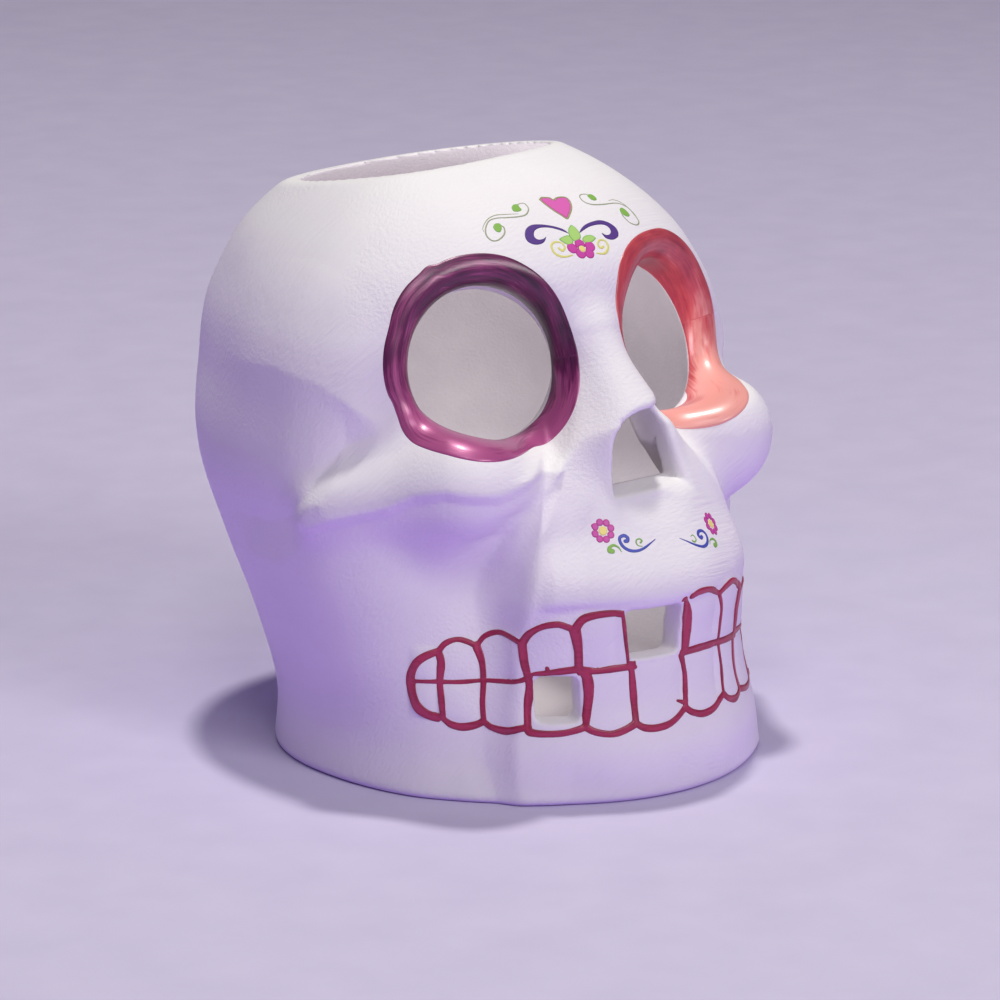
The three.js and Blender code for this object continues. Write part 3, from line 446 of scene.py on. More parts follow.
# Materials
class Tree:
    """A material's node tree, with a short way to add a node and wire its inputs."""

    def __init__(self, name):
        self.material = bpy.data.materials.new(name)
        self.material.use_nodes = True
        self.tree = self.material.node_tree
        self.shader = self.tree.nodes["Principled BSDF"]

    def add(self, kind, inputs=None, **settings):
        node = self.tree.nodes.new(kind)
        for key, value in settings.items():
            setattr(node, key, value)
        for key, value in (inputs or {}).items():
            self.wire(node.inputs[key], value)
        return node

    def wire(self, socket, value):
        if isinstance(value, bpy.types.NodeSocket):
            self.tree.links.new(value, socket)
        else:
            socket.default_value = value

    def maths(self, operation, a, b=0.0, c=0.0):
        return self.add("ShaderNodeMath", {0: a, 1: b, 2: c}, operation=operation).outputs[0]

    def noise(self, vector, scale, detail=2.0, rough=0.5):
        inputs = {"Vector": vector, "Scale": scale, "Detail": detail, "Roughness": rough}
        return self.add("ShaderNodeTexNoise", inputs).outputs["Fac"]

    def ramp(self, value, stops):
        ramp = self.add("ShaderNodeValToRGB", {"Fac": value})
        elements = ramp.color_ramp.elements
        while len(elements) < len(stops):
            elements.new(0.5)
        for element, (position, colour) in zip(elements, stops):
            element.position = position
            element.color = (*colour, 1)
        return ramp.outputs["Color"]

    def mix(self, factor, a, b):
        node = self.add("ShaderNodeMix", {0: factor}, data_type="RGBA")
        self.wire(node.inputs[6], a)
        self.wire(node.inputs[7], b)
        return node.outputs[2]

    def bump(self, height, distance, strength=1.0, normal=None):
        inputs = {"Height": height, "Distance": distance, "Strength": strength}
        if normal is not None:
            inputs["Normal"] = normal
        return self.add("ShaderNodeBump", inputs).outputs["Normal"]

    def lay(self):
        """The vector that a piece's mesh carries, and its third direction alone."""
        vector = self.add("ShaderNodeAttribute", attribute_name="lay").outputs["Vector"]
        return vector, self.add("ShaderNodeSeparateXYZ", {0: vector}).outputs["Z"]

    def mapped(self, vector, **inputs):
        return self.add("ShaderNodeMapping", {"Vector": vector, **inputs}).outputs[0]

    def finish(self, **inputs):
        for key, value in inputs.items():
            self.wire(self.shader.inputs[key.replace("_", " ")], value)
        return self.material


def srgb(r, g, b):
    return tuple((v / 255 / 12.92) if v <= 10 else ((v / 255 + 0.055) / 1.055) ** 2.4 for v in (r, g, b))


def casting_material(pitch=0.0007):
    """White brushed coat, and a greyer painted shade inside where the third direction of the lay is 1."""
    t = Tree("white_coat_and_painted_shade")
    place = t.add("ShaderNodeTexCoord").outputs["Object"]

    def strokes(turn, length):
        turned = t.mapped(place, Rotation=turn)
        return t.noise(t.mapped(turned, Scale=(1 / length, 1 / pitch, 1 / pitch)), 1.0)

    diagonal = strokes((0.3, 0.65, 0.5), 0.02)
    crosswise = strokes((0, -0.15, -0.4), 0.024)
    patches = t.ramp(t.noise(place, 24.0, 1.0), [(0.45, (0, 0, 0)), (0.55, (1, 1, 1))])
    ridges = t.mix(patches, diagonal, crosswise)
    grain = t.noise(place, 2600.0)
    bump = t.bump(grain, 0.00004, 0.5, t.bump(ridges, 0.00017, 0.9))
    coat = t.ramp(t.noise(place, 40.0, 3.0), [(0.3, srgb(238, 236, 238)), (0.7, srgb(244, 242, 243))])
    # Painted shade: the inside of the cavity is painted this greyer tone
    shade_grey = t.ramp(t.noise(place, 90.0, 4.0), [(0.3, srgb(188, 182, 187)), (0.7, srgb(196, 190, 194))])
    tone = t.mix(t.lay()[1], coat, shade_grey)
    return t.finish(Base_Color=tone, Roughness=0.62, Normal=bump, Specular_IOR_Level=0.35)


def brushed(name, deep, middle, light, metal, rough, coat, streak=0.35):
    """Paint laid on with a brush along the first direction of the piece's lay; the third is its tone, which
    on the eye rings is painted light and shade.
    """
    t = Tree(name)
    lay, tone = t.lay()
    line = t.noise(t.mapped(lay, Scale=(0.12, 1.6, 1)), 1.0, 4.0, 0.6)
    cloud = t.noise(t.mapped(lay, Scale=(0.1, 0.25, 1)), 1.0)
    value = t.maths("MULTIPLY_ADD", cloud, 0.4, t.maths("MULTIPLY_ADD", tone, 0.25, 0.25 - 0.7 * streak))
    value = t.maths("MULTIPLY_ADD", line, 1.4 * streak, value)
    colour = t.ramp(value, [(0.36, srgb(*deep)), (0.5, srgb(*middle)), (0.66, srgb(*light))])
    bump = t.bump(line, 0.00012, streak)
    return t.finish(Base_Color=colour, Metallic=metal, Roughness=rough, Normal=bump, Coat_Weight=coat,
                    Coat_Roughness=0.27, Coat_Normal=bump)


def ink(name, inner, outer, slot=None):
    """A screen-printed colour with a fine tooth and another tone at its edges, and its slot."""
    t = Tree(name)
    lay, edge = t.lay()
    speck = t.noise(lay, 4.0, 3.0, 0.7)
    amount = t.maths("MULTIPLY_ADD", speck, 0.5, t.maths("MULTIPLY", edge, 1.4))
    colour = t.ramp(amount, [(0.25, srgb(*outer)), (0.75, srgb(*inner))])
    return t.finish(Base_Color=colour, Roughness=0.45, Normal=t.bump(speck, 0.00003, 0.4)), slot or name


WHITE = casting_material()
PURPLE = brushed("metallic_purple", (58, 8, 54), (112, 22, 86), (184, 84, 142),
                 metal=0.25, rough=0.4, coat=0.75)
CORAL = brushed("coral_enamel", (168, 48, 68), (208, 82, 88), (240, 164, 154),
                metal=0.0, rough=0.36, coat=0.5, streak=0.2)
CRIMSON = brushed("crimson_line", (140, 26, 62), (160, 34, 72), (182, 52, 92),
                  metal=0.0, rough=0.42, coat=0.2)

# The casting. The white coat goes over the outside, the rim and the low wall inside; the rest of the inside
# is painted grey as painted shade.
RIM_COAT, LOW_COAT = (127, 116), (5.5, 8, 40, 56)
points, faces = surface_nets(solid)
points, _ = settle(solid, points, steps=2, most=0.2)
level = points[:, 2]
# Painted shade: grey inside the cavity, fading out toward the rim and left off the low wall
painted_shade = smoothstep(sample(cavity, points)[0], 1, 0.2) * smoothstep(level, *RIM_COAT)
painted_shade *= 1 - window(level, *LOW_COAT)
make("skull_casting", points, faces, WHITE, ["skull_shell"], painted_shade[:, None] * [0, 0, 1])


# The rings of paint: sheets over the skin, rounded down to their edges
SHEET_HEIGHT, SHEET_ROUNDING, SHEET_SINK, SHEET_UNDER = 0.22, 0.6, 0.03, 0.12
BEHIND_BORE = 0.6
STREAK_RADIUS = 21  # Where the streaks round a ring have their true length


def eye_sheet(side, name, material, node, edge, inner, tone):
    """The paint of one ring: a closed sheet from its edge on the skin over the rolled lip into the bore."""
    centre, n, across, up = eye_axes(side)
    columns, row_count = ((360, 56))
    angle = np.arange(columns) / columns * 2 * np.pi
    out = np.cos(angle)[:, None] * across + np.sin(angle)[:, None] * up
    rho_edge = edge(angle) - RIGHT_EYE_UP * (side < 0) * np.sin(angle)
    depth_end = inner(angle)
    neck = LIP * np.pi / 2
    first = np.where(rho_edge > BORE + LIP, BORE + LIP - rho_edge,
                     LIP * np.arcsin(np.clip((BORE + LIP - rho_edge) / LIP, 0, 1)))
    start = []
    for t in np.linspace(0, 1, row_count):
        run = first + (neck + depth_end - first) * t
        roll = np.clip(run, 0, neck) / LIP
        radius = BORE + LIP - LIP * np.sin(roll) + np.maximum(-run, 0)
        fall = LIP * (1 - np.cos(roll)) + np.maximum(run - neck, 0)
        foot = centre + out * radius[:, None]
        reach = crossing(distance, foot, np.tile(n, (columns, 1)), -30, 30)
        start.append(foot + n * (reach - np.minimum(fall, reach + DEPTH - BEHIND_BORE))[:, None])
    start = np.stack(start)
    step = np.linalg.norm(np.diff(start, axis=0), axis=2)
    run = np.concatenate([np.zeros((1, columns)), np.cumsum(step, axis=0)])
    to_edge = np.clip(np.minimum(run, run[-1] - run) / SHEET_ROUNDING, 0, 1)
    height = SHEET_HEIGHT * np.sqrt(1 - (1 - to_edge) ** 2) - SHEET_SINK
    # Painted light and shade: the tone by angle is painted light, and the paint is darker deeper into the
    # bore as painted shade
    shade = np.tile(tone(angle), (row_count, 1)) - 0.5 * smoothstep(run / run[-1], 0.55, 0.95)
    lay = np.stack([np.tile(angle * STREAK_RADIUS, (row_count, 1)), run, shade], -1)
    if side < 0:
        start, height, lay = start[:, ::-1], height[:, ::-1], lay[:, ::-1]
    base, normal = settle(film, start.reshape(-1, 3), steps=8)
    points = np.concatenate([base + normal * height.reshape(-1, 1), base - normal * SHEET_UNDER])
    here = np.arange(row_count * columns).reshape(row_count, columns)
    ahead = np.roll(here, -1, axis=1)
    quads = np.stack([here[:-1], ahead[:-1], ahead[1:], here[1:]], -1).reshape(-1, 4)
    faces = [quads, quads[:, ::-1] + here.size]
    for row, turn in ((0, 1), (-1, -1)):
        a, b = here[row], ahead[row]
        faces.append(np.stack([a, a + here.size, b + here.size, b], 1)[:, ::turn])
    lay = np.concatenate([lay.reshape(-1, 3)] * 2)
    make(name, points, np.concatenate(faces), material, [node], lay)


def by_degrees(*pairs):
    """A smooth closed curve through values that are given at angles in degrees."""
    at, value = np.array(pairs, float).T
    at, value = np.concatenate([at - 360, at, at + 360]), np.tile(value, 3)
    curve = stations(np.stack([at, value], 1))
    return lambda angle: curve(np.degrees(angle) % 360)[0]


# Each ring at degrees round its socket: how far from the axis its outer edge is, how far past the neck of
# the bore it ends, and its tone from deep to light, which is painted light: lighter toward the bottom, where
# the light falls, and deeper toward the top
PURPLE_EDGE = by_degrees(
    (0, 21), (15, 21), (30, 21.6), (45, 22.4), (60, 23.3), (75, 24.2), (92, 24.6), (108, 24.8), (113, 24.8),
    (117, 25.4), (124, 25.1), (135, 25.0), (146, 24.5), (157, 23.7), (168, 23.6), (182, 23.4), (192, 23.1),
    (198, 22.7), (205, 22.9), (213, 23.8), (221, 24.5), (235, 24.3), (247, 23.7), (257, 22.9), (268, 21.8),
    (279, 20.9), (291, 20.6), (303, 21.4), (314, 21.6), (325, 21.3), (342, 21.1))
PURPLE_END = by_degrees(
    (0, 0.6), (40, 1.6), (75, 1.2), (100, -0.6), (125, -1), (150, 0.4), (200, 1), (260, 1.2), (300, 0.6),
    (320, 0.2), (340, 0.2))
PURPLE_PAINTED_LIGHT = by_degrees(
    (0, 0.1), (45, 0), (90, 0.15), (135, 0.3), (180, 0.5), (225, 0.9), (270, 0.9), (315, 0.9))
CORAL_EDGE = by_degrees(
    (0, 22.3), (25, 22.5), (50, 22.6), (75, 22.8), (89, 22.7), (101, 23.1), (113, 23.7), (124, 24.2),
    (133, 24.3), (142, 23.9), (151, 23.3), (162, 22.7), (180, 21.8), (205, 21.2), (230, 21.4), (246, 22.6),
    (257, 23.3), (262, 23.4), (268, 23), (275, 22.4), (284, 21.6), (294, 20.8), (303, 20.2), (312, 20.5),
    (325, 21.6), (342, 22.1))
CORAL_END = by_degrees((0, 6), (60, 5), (120, 3), (180, 2), (240, 3), (290, 6.5), (330, 7))
CORAL_PAINTED_LIGHT = by_degrees((0, 0.35), (45, 0), (90, 0), (150, 0), (200, 0.3), (250, 0.9), (290, 1), (330, 0.9))
eye_sheet(-1, "right_eye_ring_paint", PURPLE, "right_eye_paint",
          PURPLE_EDGE, PURPLE_END, PURPLE_PAINTED_LIGHT)
eye_sheet(1, "left_eye_ring_paint", CORAL, "left_eye_paint",
          CORAL_EDGE, CORAL_END, CORAL_PAINTED_LIGHT)


# Films drawn as distance fields on a chart, in millimetres
def spline(points, step):
    """Points along the same smooth curve that the frame draws through its points."""
    p = np.array(points, float)
    p = np.vstack([p[:1], p, p[-1:]])
    out = []
    for a, b, c, d in zip(p[:-3], p[1:-2], p[2:-1], p[3:]):
        t = np.linspace(0, 1, max(2, int(np.linalg.norm(c - b) / step)), endpoint=False)[:, None]
        s, e = (c - a) / 2, (d - b) / 2
        out.append((2 * b - 2 * c + s + e) * t**3 + (-3 * b + 3 * c - 2 * s - e) * t**2 + s * t + b)
    return np.vstack([*out, p[-1:]])


def stroke(points, widths, step=0.08):
    """A smooth line, and its width at each of its points, from widths at even steps along it."""
    line = spline(points, step)
    return line, np.interp(np.linspace(0, len(widths) - 1, len(line)), np.arange(len(widths)), widths)


def stroke_field(u, v, line, width):
    """Distance from a stroke whose width may change along it."""
    best = np.full(u.shape, 9.0)
    reach = width.max() + 1.5
    near = (u > line[:, 0].min() - reach) & (u < line[:, 0].max() + reach)
    near &= (v > line[:, 1].min() - reach) & (v < line[:, 1].max() + reach)
    pu, pv = u[near], v[near]
    d = np.full(pu.shape, 9.0)
    for (a, b), w in zip(line, width):
        d = np.minimum(d, np.hypot(pu - a, pv - b) - w / 2)
    best[near] = d
    return best


def outline_field(u, v, outline):
    """Signed distance from a closed outline, negative inside."""
    d = np.full(u.shape, 1e9)
    odd = np.zeros(u.shape, bool)
    for (ax, ay), (bx, by) in zip(outline, np.roll(outline, -1, axis=0)):
        ex, ey = bx - ax, by - ay
        t = np.clip(((u - ax) * ex + (v - ay) * ey) / max(ex * ex + ey * ey, 1e-12), 0, 1)
        d = np.minimum(d, np.hypot(u - ax - t * ex, v - ay - t * ey))
        if ay != by:
            odd ^= ((ay > v) != (by > v)) & (u < ex * (v - ay) / ey + ax)
    return np.where(odd, -d, d)


def clip_grid(u, v, d):
    """Triangles of the part of a chart grid where d is negative, cut along its zero line."""
    nu, nv = d.shape
    index = np.arange(nu * nv).reshape(nu, nv)
    a, b = index[:-1, :-1].ravel(), index[1:, :-1].ravel()
    c, e = index[1:, 1:].ravel(), index[:-1, 1:].ravel()
    tri = np.concatenate([np.stack([a, b, c], 1), np.stack([a, c, e], 1)])
    flat = np.where(np.abs(d.ravel()) < 1e-4, 1e-4, d.ravel())
    inside = flat[tri] < 0
    count = inside.sum(1)
    whole = tri[count == 3]
    cuts = {}
    extra, out = [], []

    def cut(i, j):
        key = (min(i, j), max(i, j))
        if key not in cuts:
            cuts[key] = len(extra)
            t = flat[key[0]] / (flat[key[0]] - flat[key[1]])
            extra.append((u.ravel()[key[0]] * (1 - t) + u.ravel()[key[1]] * t,
                          v.ravel()[key[0]] * (1 - t) + v.ravel()[key[1]] * t))
        return nu * nv + cuts[key]

    mixed = (count == 1) | (count == 2)
    for t3, i3 in zip(tri[mixed], inside[mixed]):
        lone = int(np.argmax(i3)) if i3.sum() == 1 else int(np.argmin(i3))
        p, q, r = (int(t3[(lone + s) % 3]) for s in range(3))
        pq, pr = cut(p, q), cut(p, r)
        if i3.sum() == 1:
            out.append((p, pq, pr))
        else:
            out += [(pq, q, r), (pq, r, pr)]
    tri = np.concatenate([whole, np.array(out, int).reshape(-1, 3)])
    used, tri = np.unique(tri, return_inverse=True)
    tri = tri.reshape(-1, 3)
    extra = np.array(extra).reshape(-1, 2)
    pu = np.concatenate([u.ravel(), extra[:, 0]])[used]
    pv = np.concatenate([v.ravel(), extra[:, 1]])[used]
    depth = np.concatenate([-flat, np.zeros(len(extra))])[used]
    return pu, pv, depth, tri, used >= nu * nv


def chart_film(name, chart, u, v, d, material, slot, node, height, radius, sink=0.01, below=0.08):
    """A film over the part of a chart where d is negative, thickest inside and rounded to its edge."""
    pu, pv, depth, tri, rim = clip_grid(u, v, d)
    base, normal = chart(pu, pv)
    rise = height * np.sqrt(1 - (1 - np.clip(depth / radius, 0, 1)) ** 2) - sink
    top = base + normal * rise[:, None]
    inner = np.flatnonzero(~rim)
    under = np.arange(len(pu))
    under[inner] = len(pu) + np.arange(len(inner))
    points = np.concatenate([top, base[inner] - below * normal[inner]])
    a, b, c = top[tri[0]]
    if np.dot(np.cross(b - a, c - a), normal[tri[0, 0]]) < 0:
        tri = tri[:, ::-1]
    lay = np.stack([pu, pv, depth], 1)
    lay = np.concatenate([lay, lay[inner]])
    make(name, points, np.concatenate([tri, under[tri][:, ::-1]]), material, [node], lay)


# The tooth net
def jaw_chart(u, z):
    """Points and normals on the jaw at distances round it and heights."""
    angle = u / JAW_RADIUS
    ray = np.stack([np.sin(angle), -np.cos(angle), 0 * angle], 1)
    origin = np.stack([0 * z, 0 * z, z], 1)
    reach = crossing(film, origin + 0 * ray, ray, 20, 95)
    return settle(film, origin + ray * reach[:, None], steps=1)


# Brush strokes of the net: degrees round the jaw and heights, then the width at even steps along the stroke
CAP = [(-50.7, 32.4), (-53.6, 31.3), (-55.6, 29.7), (-56.8, 27.1), (-56.8, 24.5), (-56.2, 21.9),
       (-55, 19.8), (-52.9, 18.4), (-50.6, 17.8)]
BITE_SIDE = [(-56.8, 25.6), (-51.2, 25.7), (-45.3, 25.7), (-40.5, 26), (-35.7, 26.4), (-32.3, 27.4),
             (-30.1, 28.6), (-26.5, 29.3), (-21.3, 29.9)]
SIDE_STROKES = [
    (CAP, (1.3, 1.8, 2.3, 2.2, 1.8)),
    ([(-50.7, 32.4), (-49.3, 34), (-46.7, 34.8), (-44, 34.2), (-42.1, 33.2)], (1.4, 1.0, 1.1)),
    ([(-42.1, 33.2), (-40.3, 35.4), (-37.1, 36.7), (-34.3, 36.3), (-32.4, 35.5)], (1.3, 1.1, 1.2)),
    ([(-32.4, 35.5), (-31, 38), (-28.6, 39.7), (-25.7, 40.3), (-23.8, 39.7), (-22.2, 38.8)],
     (1.7, 1.3, 1.3)),
    (BITE_SIDE, (0.9, 0.9, 0.8, 0.9, 1.2, 1.5)),
    ([(-50.8, 32.2), (-50.1, 29.9), (-50.3, 25.6), (-49.8, 21.6), (-49.4, 17.8)],
     (1.5, 2.0, 1.5, 1.6, 1.3)),
    ([(-42.1, 33.2), (-40.9, 30.1), (-40.5, 26), (-40.7, 21.4), (-40.4, 17.4)], (1.9, 1.5, 1.4, 1.3, 1.4)),
    ([(-32.4, 35.5), (-32, 31.6), (-31.3, 28.4), (-30.9, 25.9), (-31.4, 21.5), (-31.5, 17.3)],
     (1.9, 1.6, 1.8, 1.5)),
    ([(-22.2, 38.8), (-21.5, 34.7), (-21.1, 29.9), (-19.7, 28.2), (-19.4, 24.4), (-19.9, 20.5),
      (-20.5, 17.4)],
     (2.2, 1.7, 1.7, 2.1, 1.7, 1.5)),
    ([(-49.4, 17.7), (-47.7, 16.5), (-45.1, 16), (-42.3, 16.5), (-40.4, 17.4)], (1.3, 1.6, 1.3)),
    ([(-40.4, 17.4), (-38.7, 16.3), (-35.9, 16), (-33.3, 16.9), (-31.5, 17.3)], (1.2, 1.5, 1.2)),
    ([(-31.5, 17.3), (-31.1, 16.3), (-28.2, 16), (-24.4, 16.2), (-20.5, 17.2)], (1.7, 1.4, 1.3)),
]
FRONT_STROKES = [
    ([(-22.2, 38.8), (-20.9, 41.1), (-18.5, 42.1), (-15.3, 42.4), (-13, 42)], (1.9, 1.4, 1.4)),
    ([(-12.9, 42), (-12.4, 37.5), (-11.6, 33.5), (-11, 29.2)], (1.0, 1.0, 1.3, 1.2)),
    ([(0.1, 43.2), (0.9, 40.7), (1.5, 36.5), (1.5, 31.2)], (1.6, 2.3, 2.2, 1.8)),
    ([(1.9, 43.8), (3.7, 44.4), (7, 44), (10.6, 42)], (1.5, 1.4, 1.1)),
    ([(10.6, 42), (13.2, 42.9), (17.4, 42.9), (22.2, 40.2)], (1.2, 1.3, 1.5)),
    ([(-21.3, 29.9), (-18, 29.4), (-14.1, 29.6), (-10.5, 29.7)], (1.5, 1.3, 1.5)),
    ([(1, 30.8), (5.5, 30.8), (11.9, 30.3), (21.3, 29.2)], (1.7, 1.4, 1.5)),
    ([(-10.8, 30.2), (-10.5, 25), (-10.4, 20.6), (-10.5, 17.2)], (1.2, 1.6, 1.4, 1.5)),
    ([(0.7, 30.2), (1.5, 25.8), (1.4, 21.4), (1, 18.5)], (1.4, 1.1, 1.3, 1.2)),
    ([(10.6, 42), (12, 37.7), (12.2, 30.3), (13, 24.3), (12.7, 18.5)], (1.0, 0.9, 0.9, 0.9)),
    ([(-20.5, 17.4), (-18.7, 16.2), (-15.6, 15.5), (-12.9, 16.1), (-10.5, 17.2)], (1.5, 1.3, 1.6)),
    ([(-10.5, 17.2), (-8.8, 16), (-6, 15.6), (-2.8, 16.2), (1, 18.5)], (1.3, 1.4, 1.3)),
    ([(1, 18.5), (2.4, 17.2), (5.3, 16.2), (9, 16.6), (12.7, 18.5)], (1.3, 1.4, 1.2)),
    ([(12.7, 18.5), (14.5, 16.9), (17.6, 16.1), (20.6, 17.3)], (1.3, 1.4, 1.2)),
    ([(-27.5, 30.3), (-27.2, 29.4)], (0.7, 0.9)),
    ([(-0.9, 20.4), (0.6, 19.7)], (0.6, 0.9)),
    ([(-10.2, 30.9), (-9.9, 29.4)], (0.5, 0.8)),
]
NET_REACH, NET_BOTTOM, NET_TOP = 68, 13, 47
NET_WIDTH, NET_SHAKE, SHAKE_EVERY = 1.15, 0.09, 12  # A factor, millimetres, and points along the stroke
CLEAR_OF_GAP = 0.25


def tooth_net():
    """The strokes of both sides and the front on the jaw's chart, cut back from the missing teeth."""
    mirrored = [([(-a, z) for a, z in points], width) for points, width in SIDE_STROKES]
    step = 0.25
    scale = math.radians(1) * JAW_RADIUS
    across, heights = np.arange(-NET_REACH, NET_REACH, step), np.arange(NET_BOTTOM, NET_TOP, step)
    u, v = np.meshgrid(across, heights, indexing="ij")
    d = np.full(u.shape, 9.0)
    for points, widths in SIDE_STROKES + FRONT_STROKES + mirrored:
        line, width = stroke([(a * scale, z) for a, z in points], widths, 0.2)
        knots = np.arange(0, len(line) + SHAKE_EVERY, SHAKE_EVERY)
        shake = np.interp(np.arange(len(line)), knots, rng.normal(0, NET_SHAKE, len(knots)))
        d = np.minimum(d, stroke_field(u, v, line, NET_WIDTH * width + shake))
    for left, right, bottom, top, _, lean in (UPPER_GAP, LOWER_GAP):
        edge = left + lean * (top - v) / (top - bottom)
        du = np.abs(u - scale * (edge + right) / 2) - scale * (right - edge) / 2
        dv = np.abs(v - (bottom + top) / 2) - (top - bottom) / 2
        d = np.maximum(d, CLEAR_OF_GAP - np.maximum(du, dv))
    chart_film("tooth_line_paint", jaw_chart, u, v, d, CRIMSON, "crimson_paint", "tooth_outline_paint",
               height=0.25, radius=0.5)


tooth_net()


# The transfers: a flat frame on the skin, so that each outline keeps its real size
def transfer_chart(x, z, turn, side):
    """A flat frame laid on the skin at x and z and turned in degrees; it gives points and normals."""
    start = np.array([[side * x, 0.0, z]])
    toward = np.array([[0.0, -1.0, 0.0]])
    anchor = start + toward * crossing(distance, start, toward, 0, 80)[:, None]
    normal = settle(distance, anchor)[1][0]
    right = np.cross([0, 0, 1], normal)
    right /= np.linalg.norm(right)
    up = np.cross(normal, right)
    a = math.radians(turn)
    e, f = right * math.cos(a) + up * math.sin(a), up * math.cos(a) - right * math.sin(a)
    return lambda u, v: settle(film, anchor[0] + np.outer(u, e) + np.outer(v, f), steps=8)


def brush(*lines):
    """Distance from brush strokes: for each its points, and its widths at even steps along it."""
    strokes = [stroke(points, widths) for points, widths in lines]

    def field(u, v):
        return np.minimum.reduce([stroke_field(u, v, line, width) for line, width in strokes])
    return field, np.concatenate([line for line, _ in strokes])


def shape(outline, grow=0.0, within=None):
    """Distance from a smooth closed outline, larger by grow, or from a band of the width within."""
    line = spline([*outline, outline[0]], 0.2)[:-1]

    def field(u, v):
        d = outline_field(u, v, line) - grow
        return d if within is None else np.maximum(d, -d - within)
    return field, line


def rounds(places, radius, hole=None):
    """Distance from a bunch of round petals, with the eye of the flower left out."""
    places = np.array(places, float)

    def field(u, v):
        d = np.minimum.reduce([np.hypot(u - x, v - y) - radius for x, y in places])
        return d if hole is None else np.maximum(d, hole[2] - np.hypot(u - hole[0], v - hole[1]))
    return field, np.concatenate([places - radius, places + radius])


def about(x, y, count, reach, turn):
    """Places round a middle, the first at the turn in degrees."""
    angle = np.radians(turn) + np.arange(count) * 2 * np.pi / count
    return np.stack([x + reach * np.cos(angle), y + reach * np.sin(angle)], 1)


def transfer(name, chart, drawing, pigment, node):
    """One printed film: a drawing on a chart."""
    field, extent = drawing
    step = 0.1
    low, high = extent.min(0) - 1, extent.max(0) + 1
    u, v = np.meshgrid(np.arange(low[0], high[0], step), np.arange(low[1], high[1], step), indexing="ij")
    chart_film(name, chart, u, v, field(u, v), *pigment, node, height=0.09, radius=0.25)


# Inks: the material and its slot
PINK = ink("pink_print", (224, 104, 184), (206, 84, 160))
OLIVE = ink("olive_print", (164, 172, 110), (156, 150, 108))
GREEN = ink("leaf_green_print", (136, 188, 82), (122, 172, 84), "green_print")
PALE_GREEN = ink("pale_green_print", (176, 220, 122), (112, 172, 86), "green_print")
STEM = ink("stem_green_print", (146, 158, 118), (160, 168, 140), "green_print")
VIOLET = ink("violet_print", (92, 62, 140), (72, 50, 124))
YELLOW = ink("yellow_print", (226, 226, 120), (220, 218, 132))
MAGENTA = ink("magenta_print", (208, 76, 168), (168, 26, 122))
CREAM = ink("cream_print", (242, 230, 132), (238, 216, 124))
BLUE = ink("blue_print", (74, 88, 186), (60, 70, 160))

# The brow's drawings, on one flat frame
brow = transfer_chart(x=1, z=118.5, turn=-3.5, side=1)
BORDER = 0.42
HEART = [(-3.4, 10), (-2.4, 10.7), (-1.3, 10.6), (-0.1, 10.3), (0.4, 9.6), (1.5, 10.1), (3.2, 10.2),
         (4.4, 9.7), (4.6, 8.2), (3.8, 6.3), (2.2, 4.5), (0.5, 3.2), (-0.6, 4.5), (-1.7, 6), (-2.7, 8)]
transfer("heart_print", brow, shape(HEART, grow=-BORDER), PINK, "heart_decal")
transfer("heart_border_print", brow, shape(HEART, within=BORDER), OLIVE, "heart_outline_decal")
# Widths of the brush at even steps along a line
LINE, HAIR, CURL = (0.25, 0.42, 0.34, 0.42, 0.38), (0.16, 0.3, 0.26, 0.16), (0.35, 0.7, 0.6, 0.5, 0.7)
VINES = {
    "left": brush(
        ([(11.3, 10.2), (10, 10.5), (8.6, 10.2), (8, 9.2), (8.5, 7.8), (10.5, 7), (13.7, 7.1), (18.4, 7.7),
          (21.1, 6.7), (22, 4.4), (22.1, 2.1), (20.5, 1), (18.5, 1.6), (17.6, 3.2), (17.6, 4.4)], LINE),
        ([(16.2, 8.4), (17.8, 8.8), (19.4, 8.5), (20.9, 7.3), (22.1, 5), (22.3, 2.9)], HAIR)),
    "right": brush(
        ([(-9.7, 9.5), (-8.4, 9.7), (-7.6, 9.3), (-7.6, 7.7), (-9.2, 6.2), (-11.3, 6), (-14.2, 6.4),
          (-16.7, 6.9), (-18.8, 6.7), (-20.6, 5.1), (-21.5, 3.1), (-21, 1.4), (-19.5, 1), (-17.3, 2.1),
          (-16.4, 3.8), (-16.9, 4.8)], LINE),
        ([(-10.9, 6.8), (-14.2, 7.4), (-16.6, 7.8), (-19, 7.2), (-21.2, 5.4), (-21.6, 4.2)], HAIR)),
}
BUDS = {
    "left_vine_bud_1": [(10.5, 10), (11.7, 10.5), (12.6, 10), (12.7, 8.8), (11.8, 8.3), (10.8, 8.7)],
    "left_vine_bud_2": [(17.8, 5.7), (18.9, 6.3), (19.8, 5.7), (20.2, 4.2), (19.2, 3.4), (18.1, 3.8),
        (17.5, 4.5)],
    "right_vine_bud_1": [(-11.5, 9), (-10.6, 9.7), (-9.5, 9.6), (-9.5, 8.8), (-9.4, 7.8), (-10.3, 7.4),
        (-11.4, 7.6), (-11.7, 8.1)],
    "right_vine_bud_2": [(-18.9, 4.7), (-18, 5.5), (-16.8, 5.3), (-16.8, 4.3), (-17.3, 3.4), (-18.1, 2.9),
        (-18.8, 3.5)],
}
